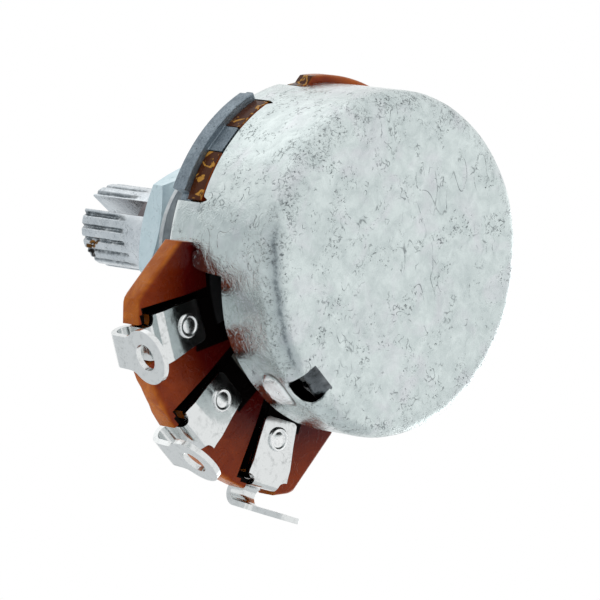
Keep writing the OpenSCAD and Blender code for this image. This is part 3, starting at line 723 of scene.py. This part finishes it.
def tongue_skin(s, across):
    """A strip that leaves the back, bends on a tight radius and stands into the can. Its skin is
    crumpled a little, and it narrows and straightens towards its end, where the rotor's lug meets it."""
    turn = np.clip(s / TONGUE_BEND, 0, math.pi / 2)
    straight = np.clip(s - TONGUE_BEND * math.pi / 2, 0, TONGUE_STAND)
    dent = 0.17 * np.sin(3.9 * across + 2.6 * s) * np.sin(2.9 * s - 1.9 * across)
    dent = dent * np.clip(s / TONGUE_BEND, 0, 1)
    out = TONGUE_ROOT + TONGUE_BEND * np.sin(turn) - dent - 0.4 * straight
    z = BACK + TONGUE_BEND * (1 - np.cos(turn)) + straight
    middle = 0.45 * np.clip(1 - s / 1.5, 0, 1)
    return lay(middle + across * TONGUE_HALF * (1 - 0.035 * s), -out, z)


tongue_s, tongue_x = np.meshgrid(np.linspace(0, TONGUE_BEND * math.pi / 2 + TONGUE_STAND, 18),
                                 np.linspace(-1, 1, 7), indexing="ij")
tongue = piece("stop_tongue", [shell(tongue_skin(tongue_s, tongue_x))], "housing",
               "rear_cover", tongue_shaded_metal, outside=lay(0, 0, -6), smooth=18)
thicken(tongue, SHEET)
soften(tongue, 0.06)

# %% [markdown]
# ## Plate, bushing, nut and washer
# The plate is a flat pressing: a welded copy of its solid with rounded edges is enough, and the
# grain is in its finish. The bushing and the nut need a real thread, because it shows from the
# front and the sides. A thread is a revolve whose radius also moves along the helix.

# %% The mounting plate
plate = moulded_copy("plate_pressing", "mounting_plate", "housing", plate_metal, 0.16)

# %% The threaded bushing
THREAD_R, THREAD_PITCH, THREAD_DEEP = 3.5, 0.75, 0.3


def thread_wave(angle, z, pitch):
    """0 at the crest and 1 at the root of a 60 degree thread, flat at both, one turn per pitch."""
    phase = (z / pitch - angle / 360) % 1
    return np.clip(np.abs(2 * phase - 1) * 1.45 - 0.225, 0, 1)


bush_high = node_mm("bushing")[1]
turn = np.linspace(0, 360, 97)[:-1][:, None]
z_thread = np.linspace(0.25, bush_high[2] - 0.45, 160)[None, :]
fade = np.clip((z_thread - 0.25) / 0.5, 0, 1)
r_thread = THREAD_R - THREAD_DEEP * fade * thread_wave(turn, z_thread, THREAD_PITCH)
before = np.array([[3.04, -1.2], [3.6, -1.2], [4.22, -1.2], [4.30, -1.14], [4.30, -0.04], [4.26, 0.0],
                   [3.56, 0.0], [3.5, 0.06]])
after = np.array([[3.42, 10.1], [3.12, 10.44], [3.06, 10.48], [3.04, 10.42], [3.04, 4.0]])
ones = np.ones_like(turn)
bush_r = np.concatenate([ones * before[:, 0], r_thread, ones * after[:, 0]], 1)
bush_z = np.concatenate([ones * before[:, 1], ones * z_thread, ones * after[:, 1]], 1)
bushing = piece("bushing_threaded", [shell(turned(bush_r, turn, bush_z), wrap_u=True, wrap_v=True)],
                "housing", "bushing", bushing_metal, smooth=28)

# %% The nut
NUT_AF, NUT_BACK, NUT_FRONT, NUT_TURN = 10.5, 8.1, 10.1, -33.0


def hexagon(angle, across):
    """Distance from the axis to the flat of a hexagon in each direction."""
    sixth = (angle - NUT_TURN + 30) % 60 - 30
    return across / 2 / np.cos(np.radians(sixth))


def nut_section(angle):
    """Round the nut's section: up the flats between two 30 degree bevels, in over the front face,
    down the threaded hole, and out over the back face."""
    flat = hexagon(angle, NUT_AF)
    face = NUT_AF / 2 - 0.12
    depth = np.minimum((flat - face) * math.tan(math.radians(30)), 0.8)
    ends = [(face, NUT_BACK), (flat, NUT_BACK + depth), (flat, NUT_FRONT - depth), (face, NUT_FRONT)]
    r = [np.broadcast_to(e[0], angle.shape) for e in ends]
    z = [np.broadcast_to(e[1], angle.shape) for e in ends]
    return r, z


nut_turn = (np.linspace(0, 360, 289)[:-1] + NUT_TURN)[:, None]
nut_r, nut_z = nut_section(nut_turn)
hole_z = np.linspace(NUT_FRONT - 0.3, NUT_BACK + 0.3, 34)[None, :]
hole_r = THREAD_R + 0.04 + 0.26 * (1 - thread_wave(nut_turn, hole_z, THREAD_PITCH))
ones = np.ones_like(nut_turn)
nut_r = np.concatenate([*nut_r, ones * 3.95, ones * 3.85, hole_r, ones * 3.85, ones * 3.95], 1)
nut_z = np.concatenate([*nut_z, ones * NUT_FRONT, ones * (NUT_FRONT - 0.1), ones * hole_z,
                        ones * (NUT_BACK + 0.1), ones * NUT_BACK], 1)
nut = piece("nut_hexagon", [shell(turned(nut_r, nut_turn, nut_z), wrap_u=True, wrap_v=True)],
            "housing", "hex_nut", nut_metal, smooth=20)
soften(nut, 0.08, 2, 24)

# %% The washer
wash_low, wash_high = node_mm("washer")


def rounded_ring(r_in, r_out, z0, z1, edge, count=5):
    """Section of a flat ring whose four corners are quarter circles of radius edge."""
    a = np.linspace(0, math.pi / 2, count)
    corners = ((r_out - edge, z1 - edge, a[::-1]), (r_out - edge, z0 + edge, -a),
               (r_in + edge, z0 + edge, -a[::-1] - math.pi / 2), (r_in + edge, z1 - edge, a + math.pi / 2))
    return (np.concatenate([r + edge * np.cos(turn) for r, _, turn in corners]),
            np.concatenate([z + edge * np.sin(turn) for _, z, turn in corners]))


ring_r, ring_z = rounded_ring(3.56, wash_high[0], wash_low[2], wash_high[2], 0.09)
around = np.linspace(0, 360, 129)[:-1][:, None]
ring = shell(turned(ring_r[None, :], around, ring_z[None, :]), wrap_u=True, wrap_v=True)
washer = piece("washer_flat", [ring], "housing", "washer", washer_metal)

# %% [markdown]
# ## The split, knurled shaft
# The end of the shaft is sawn in two, so each half is its own closed form: a half-moon outline
# carried forward, toothed where the knurl is pressed, and drawn in at the end for the chamfer.
# The plain part below is a revolve. Its tail with two flats stays inside the rotor.

# %% The two halves
SHAFT_R, SHAFT_END, SLOT_FLOOR, SLOT_HALF, SHAFT_EDGE = 3.0, 19.0, 13.2, 0.6, 0.25
KNURL_START, TOOTH_DEEP, GROOVE_HALF = 14.1, 0.24, 0.25
groove_starts = KNURL_START + rng.uniform(-0.1, 0.9, TEETH + 1)
groove_deep = rng.uniform(0.75, 1.15, TEETH + 1)
NICKS = ((-62.5, 17.6, 0.26, 0.2), (-69.0, 18.1, 0.28, 0.24),
         (-84.0, 18.55, 0.36, 0.26), (-118.0, 18.7, 0.3, 0.16))


def knurl(angle, z):
    """Depth of the pressed grooves: rounded hollows in line with the split and every 18 degrees on,
    each of its own depth and starting where it will, with wide flat teeth between."""
    place = angle * TEETH / 360
    number = np.round(place).astype(int) % (TEETH + 1)
    side = np.abs(place - np.round(place)) * math.radians(360 / TEETH) * SHAFT_R
    groove = 0.5 + 0.5 * np.cos(math.pi * np.clip(side / GROOVE_HALF, 0, 1))
    begun = np.clip((z - groove_starts[number]) / 0.35, 0, 1)
    return TOOTH_DEEP * groove_deep[number] * groove * begun * (0.92 + 0.16 * np.sin(3.1 * z + 2.3 * number))


def nicks(angle, z):
    """Small bruises near the end: each a round hollow of its own width and depth."""
    deep = np.zeros(np.broadcast(angle, z).shape)
    for at, height, width, depth in NICKS:
        side = np.radians(off(angle, at)) * SHAFT_R
        up = z - height
        deep += depth * np.exp(-((side + 0.5 * up) / (width * 0.5)) ** 2 - (up / width) ** 2)
    return deep


def half_moon(t, z, sign):
    """Outline of one half at height z: t runs 0..1 along the toothed arc, then 1..2 back along
    the sawn face. Both are drawn in by the rounded edge at the end."""
    edge_z = np.clip((z - (SHAFT_END - SHAFT_EDGE)) / SHAFT_EDGE, 0, 1)
    r_out = SHAFT_R - SHAFT_EDGE * (1 - np.sqrt(1 - 0.96 * edge_z ** 2))
    open_half = np.degrees(np.arcsin(SLOT_HALF / r_out))
    angle = open_half + (180 - 2 * open_half) * np.clip(t, 0, 1)
    cut = r_out - knurl(angle, z) - nicks(sign * angle + SPLIT_TURN, z)
    x_arc, y_arc = cut * np.cos(np.radians(angle)), cut * np.sin(np.radians(angle))
    edge = np.sqrt(r_out ** 2 - SLOT_HALF ** 2)
    x = np.where(t <= 1, x_arc, -edge + 2 * edge * np.clip(t - 1, 0, 1))
    y = np.where(t <= 1, np.maximum(y_arc, SLOT_HALF), SLOT_HALF) * sign
    return swung(x, y, z, SPLIT_TURN)


def half_shaft(sign):
    """Side of one half with a flat end over its outline, closed to its middle line."""
    t = np.concatenate([np.linspace(0, 1, 241), np.linspace(1, 2, 22)[1:-1]])[:, None]
    z = np.concatenate([[SLOT_FLOOR - 0.3], np.linspace(SLOT_FLOOR, SHAFT_END - SHAFT_EDGE, 46),
                        np.linspace(SHAFT_END - SHAFT_EDGE, SHAFT_END, 6)[1:]])[None, :]
    side = half_moon(t, z, sign)
    shells = [shell(side, wrap_u=True)]
    for rim, count in ((side[:, -1], 4), (side[:, 0], 3)):
        centre = rim.mean(0)
        share = np.linspace(1, 0, count)[None, :, None]
        shells.append(shell(centre + (rim - centre)[:, None, :] * share, wrap_u=True))
    return shells


core_r = np.array([0, 2.3, 2.3, 2.3, 3.0, 3.0, 3.0, 0.0])
core_z = np.array([-2.75, -2.75, -1.7, -1.2, -1.2, 12.6, SLOT_FLOOR, SLOT_FLOOR])
tail_low = node_mm("shaft")[0]
core = turned(core_r[None, :], around, core_z[None, :])
TAIL_R, TAIL_HALF = 2.9, 2.0
tail_x = TAIL_R * np.cos(np.radians(around))
tail_y = np.clip(TAIL_R * np.sin(np.radians(around)), -TAIL_HALF, TAIL_HALF)
tail_z = np.array([-2.7, -2.7, tail_low[2], tail_low[2]])[None, :]
tail_f = np.array([0, 1, 1, 0])[None, :]
shaft = piece("shaft_split_knurled", [*half_shaft(1), *half_shaft(-1), shell(core, wrap_u=True),
                                      shell(lay(tail_x * tail_f, tail_y * tail_f, tail_z), wrap_u=True)],
              "spindle", "shaft", shaft_metal, smooth=24)

# %% [markdown]
# ## The board and its terminals
# The board is a thick moulding with rounded edges. Its section is worked out in every direction
# from the axis, because slots, skirt and notches all change with the angle. Each terminal is a
# strip of sheet: a plate on the board, a step over its edge, a hairpin bend and a round eyelet.
# It could be folded up from a flat outline, but one surface, a width carried along a bent line,
# keeps the bends round.

# %% The board
BORE_R, DISC_R, CROWN_R, SKIRT_R, SKIRT_SIDE, SKIRT_DIAGONAL = 5.0, 12.0, 12.5, 17.15, 10.45, 23.55
FRONT, SKIRT_FRONT, STEP_AT, NOTCH_R = -1.2, -0.9, 12.12, 16.3
SKIRT_HALF, NOTCH_HALF, TAB_SLOT, TOOTH_SLOT, CROWN_HALF = 52.9, 4.87, 7.7, 5.5, 51.0
GROOVE_FROM, GROOVE_TO, GROOVE_DEEP, PAIR = 6.75, 8.5, 1.2, 0.12


def board_outline(angle):
    """Distance from the axis to the board's edge: the disc with its crown, the slots for the tabs
    and the plate's teeth, and the skirt, a circle cut by four straight sides and three notches."""
    a = np.radians(angle)
    side, low = np.abs(np.cos(a)), np.abs(np.sin(a))
    r = DISC_R + (CROWN_R - DISC_R) * soft_step((CROWN_HALF - np.abs(off(angle, 90))) / 2.5)
    for middle in TAB_AT:
        r = np.where(np.abs(off(angle, middle)) < TAB_SLOT, 11.5, r)
    for middle in (0.0, 180.0):
        r = np.where(np.abs(off(angle, middle)) < TOOTH_SLOT, 10.5 / side, r)
    skirt = np.minimum(SKIRT_SIDE / np.maximum(side, 1e-6), SKIRT_DIAGONAL / (side + low))
    skirt = np.minimum(SKIRT_R, skirt)
    r = np.where(np.abs(from_down(angle)) < SKIRT_HALF, skirt, r)
    for place in PLACES:
        near = from_down(angle) - place
        r = np.where(np.abs(near) < NOTCH_HALF, NOTCH_R / np.cos(np.radians(near)), r)
    return r


def board_rounding(angle):
    """Radius of the edge: wide on the skirt, less beside the terminals, small on the disc."""
    down = from_down(angle)
    beside = np.min([np.abs(down - place) for place in PLACES], axis=0)
    skirt = 0.2 + 0.24 * soft_step((beside - 9.5) / 1.5)
    crown = 0.12 + 0.16 * soft_step((CROWN_HALF - np.abs(off(angle, 90))) / 2.5)
    return np.where(np.abs(down) < SKIRT_HALF, skirt, crown)


def board_back(angle, r):
    """Height of the back face, with the groove beside each terminal and its way to the notch."""
    z = np.full(np.broadcast(angle, r).shape, BOARD_BACK)
    for place in PLACES:
        near = from_down(angle) - place
        groove = (near > GROOVE_FROM) & (near < GROOVE_TO) & (r > 11.47) & (r < 16.48)
        groove |= (near > NOTCH_HALF - 1) & (near <= GROOVE_FROM) & (r > 15.93) & (r < 16.48)
        z = np.where(groove, BOARD_BACK + GROOVE_DEEP, z)
    return z


def board_section(angle):
    """Once round the board's section in each direction: out over the back face, round its edge,
    in under the front face with the skirt's step, and up the bore."""
    edge, e = board_outline(angle), board_rounding(angle)
    skirt_front = np.where(np.abs(from_down(angle)) < SKIRT_HALF, SKIRT_FRONT, FRONT)
    rows = [BORE_R, 8.4, 11.0, 11.44, 11.5, 12.2, 13, 13.8, 14.6, 15.4, 15.9, 15.96, 16.2, 16.45, 16.51, 18.0]
    r = [np.minimum(row, edge - e) for row in rows]
    z = [board_back(angle, row) for row in r]
    for turn in np.linspace(0, math.pi / 2, 8)[1:]:
        r.append(edge - e + e * math.sin(turn))
        z.append(board_back(angle, edge - e) + e * (1 - math.cos(turn)))
    small = 0.8 * e
    for turn in np.linspace(math.pi / 2, 0, 7):
        r.append(edge - small + small * math.sin(turn))
        z.append(skirt_front - small * (1 - math.cos(turn)))
    for row in (16.0, 14.0, STEP_AT, STEP_AT - 0.06, 9.0, BORE_R):
        r.append(np.minimum(row, edge - small))
        z.append(np.where(r[-1] > STEP_AT - 0.03, skirt_front, FRONT))
    return np.concatenate(r, 1), np.concatenate(z, 1)


breaks = [m + h for m in TAB_AT for h in (-TAB_SLOT, TAB_SLOT)]
breaks += [m + h for m in (0.0, 180.0) for h in (-TOOTH_SLOT, TOOTH_SLOT)]
breaks += [DOWN + h for h in (-SKIRT_HALF, SKIRT_HALF)]
breaks += [DOWN + m + h for m in PLACES
           for h in (-NOTCH_HALF, NOTCH_HALF, NOTCH_HALF - 1, GROOVE_FROM, GROOVE_TO)]
columns = np.concatenate([np.arange(-180, 180, 1.0) + 0.31, *[[b - PAIR, b + PAIR] for b in breaks]])
columns = np.unique(np.round((columns + 180) % 360 - 180, 4))
apart = np.min([np.abs(off(columns, b)) for b in breaks], axis=0)
columns = columns[(apart > PAIR * 2) | (np.abs(apart - PAIR) < 1e-3)][:, None]
board_r, board_z = board_section(columns)
board = piece("board_moulding", [shell(turned(board_r, columns, board_z), wrap_u=True, wrap_v=True)],
              "housing", "terminal_board", board_resin, smooth=32)

# %% The bent line of a terminal
TAG_T = 0.4
TAG_MID = -2.68 - TAG_T / 2
BEND_X, BEND_Y, LEG_IN, BEND_R = 17.37, -1.58, 16.57, 0.8
LEAN, LEG_L, STEP_R = 4.0, 2.88, 0.35
CREASE_X, CREASE = 15.0, 0.09
NECK, EYE_R, EYE_HOLE, NECK_HALF = 2.2, 1.95, 0.95, 1.2


def terminal_line():
    """Pieces of the line in the plane of distance and height: plate, corner, strip forward,
    hairpin, leg. Gives the points, and the length along the line of each."""
    corner = np.linspace(0, math.pi / 2, 8)
    hair = np.linspace(math.pi, 0, 22)
    lean = math.radians(LEAN)
    plate_x = np.linspace(11.8, LEG_IN - STEP_R, 60)
    ridge = CREASE * np.clip(1 - np.abs(plate_x - CREASE_X) / np.where(plate_x < CREASE_X, 1.6, 0.7), 0, 1)
    parts = [np.stack([plate_x, TAG_MID - ridge], -1),
             np.stack([LEG_IN - STEP_R + STEP_R * np.sin(corner),
                       TAG_MID + STEP_R * (1 - np.cos(corner))], -1)[1:],
             np.stack([np.full(8, LEG_IN), np.linspace(TAG_MID + STEP_R, BEND_Y, 8)], -1)[1:],
             np.stack([BEND_X + BEND_R * np.cos(hair), BEND_Y + BEND_R * np.sin(hair)], -1)[1:-1]]
    end = LEG_L + EYE_R
    leg_s = 0.02 + (end - 0.02) * np.linspace(0, 1, 66)
    parts.append(np.stack([BEND_X + BEND_R * math.cos(lean) + leg_s * math.sin(lean),
                           BEND_Y - BEND_R * math.sin(lean) - leg_s * math.cos(lean)], -1))
    line = np.concatenate(parts)
    length = np.concatenate([[0], np.cumsum(np.hypot(*np.diff(line, axis=0).T))])
    return line, length


line, length = terminal_line()
EYE_S = length[-1] - EYE_R
SHOULDER_S, ACROSS = 4.2, np.linspace(-1, 1, 17)
print("terminal strip:", round(float(length[-1]), 2), "mm long, eyelet at", round(float(EYE_S), 2))


def strip_half(s):
    """Half width: 1.5 widening to 1.9 along the plate, then a hollow shoulder of 0.45 mm down to
    the strip. The plate's inner corners are rounded."""
    plate_w = 1.5 + 0.4 * np.clip(s / SHOULDER_S, 0, 1)
    past = np.clip((s - SHOULDER_S) / 0.45, 0, 1)
    w = np.where(s <= SHOULDER_S, plate_w, NECK_HALF + 0.7 * (1 - np.sqrt(1 - (1 - past) ** 2)))
    return np.minimum(w, plate_w * np.sqrt(1 - np.clip(1 - s / 0.25, 0, 1) ** 2 * 0.35))


def eye_patch():
    """The eyelet as rings round its hole. Its rim is the circle, or the neck where that reaches
    farther out, and one side of it is the straight end of the strip."""
    neck = np.arctan2(ACROSS * NECK_HALF, -NECK) % (2 * math.pi)
    corner = neck[-1]
    rest = np.linspace(corner, -corner, 73)[1:-1]
    meet = math.pi - math.asin(NECK_HALF / EYE_R)
    side = np.where(np.abs(rest) > math.pi / 2, NECK_HALF / np.maximum(np.abs(np.sin(rest)), 0.1), 0)
    hollow = 0.09 * np.exp(-((np.abs(rest) - meet) / 0.09) ** 2)
    rim = np.maximum(EYE_R, side) + hollow * (np.abs(rest) < corner - 0.01)
    a = np.concatenate([neck, rest])[:, None]
    rim = np.concatenate([NECK / np.abs(np.cos(neck)), rim])[:, None]
    share = np.linspace(0, 1, 7)[None, :]
    r = rim * (1 - share) + EYE_HOLE * share
    return EYE_S + r * np.cos(a), r * np.sin(a)


def strip_point(s, across):
    """Point s along the bent line and across sideways: the line's own place, kept flat across."""
    x = np.interp(s, length, line[:, 0])
    z = np.interp(s, length, line[:, 1])
    return x, across, z


def terminal(name, node, turn):
    """One terminal, turned to its place round the board."""
    end = EYE_S - NECK
    shoulder = SHOULDER_S + np.array([0.0, 0.02, 0.05, 0.1, 0.2, 0.3, 0.45])
    s = np.unique(np.concatenate([length[length < end - 0.02], [end], shoulder]))
    s, share = np.meshgrid(s, ACROSS, indexing="ij")
    strip = swung(*strip_point(s, share * strip_half(s)), DOWN + turn)
    eye = swung(*strip_point(*eye_patch()), DOWN + turn)
    obj = piece(name, [shell(strip), shell(eye, wrap_u=True)],
                "housing", node, tag_tin, outside=lay(0, 0, 0), smooth=60)
    thicken(obj, TAG_T, 0.0)
    soften(obj, 0.07, 2, 50)
    return obj


SIDES = ("left", "middle", "right")
for side, turn_by in zip(SIDES, PLACES):
    terminal(f"tag_{side}", f"terminal_{side}", turn_by)


# %% The rivets
RIVET_AT = 13.2
HEAD = np.array([(0, 0), (0.20, 0.012), (0.36, 0.04), (0.46, 0.075), (0.52, 0.10), (0.57, 0.10), (0.62, 0.07),
                 (0.67, 0.03), (0.73, 0.02), (0.80, 0.04), (0.85, 0.10), (0.85, 0.2), (0.65, 0.21)])


def rivet(name, node, turn):
    """A revolve: a dished head with a rolled rim behind the terminal, a shank, a flat head in front."""
    low, high = node_mm(node)
    back, front = low[2], high[2]
    r = np.array([*HEAD[:, 0], 0.65, 0.85, 0.85, 0.75, 0])
    z = np.array([*(back + HEAD[:, 1]), front - 0.2, front - 0.2, front - 0.08, front, front])
    a = np.radians(np.linspace(0, 360, 49)[:-1][:, None])
    spots = swung(RIVET_AT + r * np.cos(a), r * np.sin(a), z, DOWN + turn)
    return piece(name, [shell(spots, wrap_u=True)], "housing", node, rivet_metal, smooth=50)


for side, turn_by in zip(SIDES, PLACES):
    rivet(f"rivet_head_{side}", f"rivet_{side}", turn_by)

# %% [markdown]
# ## What is inside
# The rotor, the wiper, the clip and the printed layers stay as their solids, each in its own
# finish. They show through the cut-back, and from the front when the shaft is looked at.

# %% Finishes of the inner pieces
for node, slot_name, material in (
        ("retaining_clip", "clip_steel", clip_metal), ("rotor", "rotor_plastic", rotor_resin),
        ("wiper_spring", "wiper_brass", wiper_brass), ("resistive_track", "track_carbon", carbon_print),
        ("collector_ring", "silver_layer", silver_print)):
    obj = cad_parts[node]
    obj.data.materials.clear()
    obj.data.materials.append(material)
    print(node, "wears", material.name)

# %% [markdown]
# ## Floor, light and camera
# Metal is seen by what it reflects, so the studio is a soft grey-white surround with a few broad
# lamps. The camera, mirror-like faces and what shines through see the surround as plain white, and
# matt faces get its graded light. It could be a picture of a room, but a few ramps are easier to
# tune and have no resolution. The floor lies well below.

# %% The floor
FLOOR_HALF, FLOOR_Z = 1.2, -0.22


def plain_floor():
    """A pale floor, one flat square."""
    mesh = bpy.data.meshes.new("studio_floor")
    corners = [(-1, -1), (1, -1), (1, 1), (-1, 1)]
    mesh.from_pydata([(x * FLOOR_HALF, y * FLOOR_HALF, FLOOR_Z) for x, y in corners], [], [(0, 1, 2, 3)])
    floor = bpy.data.objects.new("studio_floor", mesh)
    bpy.context.scene.collection.objects.link(floor)
    finish = Finish("floor_pale")
    tone = finish.noise(0.02).mix((0.80, 0.80, 0.80, 1), (0.84, 0.84, 0.84, 1))
    finish.wear(Base_Color=tone, Roughness=0.6)
    mesh.materials.append(finish.material)


plain_floor()

# %% The surround
world = bpy.data.worlds.new("studio")
bpy.context.scene.world = world
world.use_nodes = True
sky = Nodes(world.node_tree)
sky.tree.nodes.clear()


def side_share(direction, *ramp):
    """A soft ramp over the surround, along one direction."""
    away = sky.node("TexCoord", output="Generated")
    facing = sky.node("VectorMath", {"operation": "DOT_PRODUCT"}, away,
                      Vector(direction).normalized(), output="Value")
    return facing.ramp(*ramp, kind="SMOOTHSTEP")


level = side_share((-0.55, -0.2, 0.8), -0.8, 0.55, 0.55, 0.90)
level = level - side_share((0.58, 0.72, -0.40), 0.05, 0.8, 0.0, 0.24)
camera_ray, mirror_ray, glass_ray = (sky.node("LightPath", output=f"Is {kind} Ray")
                                     for kind in ("Camera", "Glossy", "Transmission"))
soft = sky.node("Background", Color=(0.95, 0.98, 1.0, 1), Strength=level)
white = sky.node("Background", Color=(1, 1, 1, 1), Strength=1.0)
seen = sky.node("MixShader", (), camera_ray | mirror_ray | glass_ray, soft, white)
sky.put(sky.tree.nodes.new("ShaderNodeOutputWorld").inputs["Surface"], seen)
print("surround:", len(sky.tree.nodes), "nodes")


# %% Lamps, in the directions of the photograph's own light
def lamp(name, direction, distance, size, power):
    """A square soft lamp that looks at the part from a direction."""
    data = bpy.data.lights.new(name, "AREA")
    data.shape, data.size, data.energy = "SQUARE", size, power
    obj = bpy.data.objects.new(name, data)
    obj.location = Vector(direction).normalized() * distance
    obj.rotation_mode = "QUATERNION"
    obj.rotation_quaternion = obj.location.to_track_quat("Z", "Y")
    bpy.context.scene.collection.objects.link(obj)


lamp("key", (0.45, -0.60, 0.55), 0.5, 0.40, 0.12)
lamp("fill", (0.5, 0.2, -0.8), 0.5, 0.35, 0.3)
lamp("rim", (-0.9, -0.2, 0.4), 0.5, 0.30, 0.4)
print("lamps:", [light.name for light in bpy.data.lights])

# %% The camera stands where the photograph was taken
CAMERA_MM = (203.07, 255.82, -143.30)
RIGHT, DOWNWARD, AHEAD = (np.array(a) for a in (
    (-0.49742, 0.69093, 0.52458), (-0.64828, 0.10576, -0.75402), (-0.57645, -0.71515, 0.39531)))
camera_data = bpy.data.cameras.new("photo_view")
camera = bpy.data.objects.new("photo_view", camera_data)
camera_data.lens, camera_data.sensor_width = 306.0, 36.0
camera_data.clip_start, camera_data.clip_end = 0.02, 10.0
turn_to = Matrix(np.stack([RIGHT, -DOWNWARD, -AHEAD], -1).tolist()).to_4x4()
camera.matrix_world = Matrix.Translation([c * MM for c in CAMERA_MM]) @ turn_to
bpy.context.scene.collection.objects.link(camera)
bpy.context.scene.camera = camera
bpy.context.scene.view_settings.view_transform = "Standard"
print("camera", [round(c, 4) for c in camera.location], "lens", camera_data.lens)
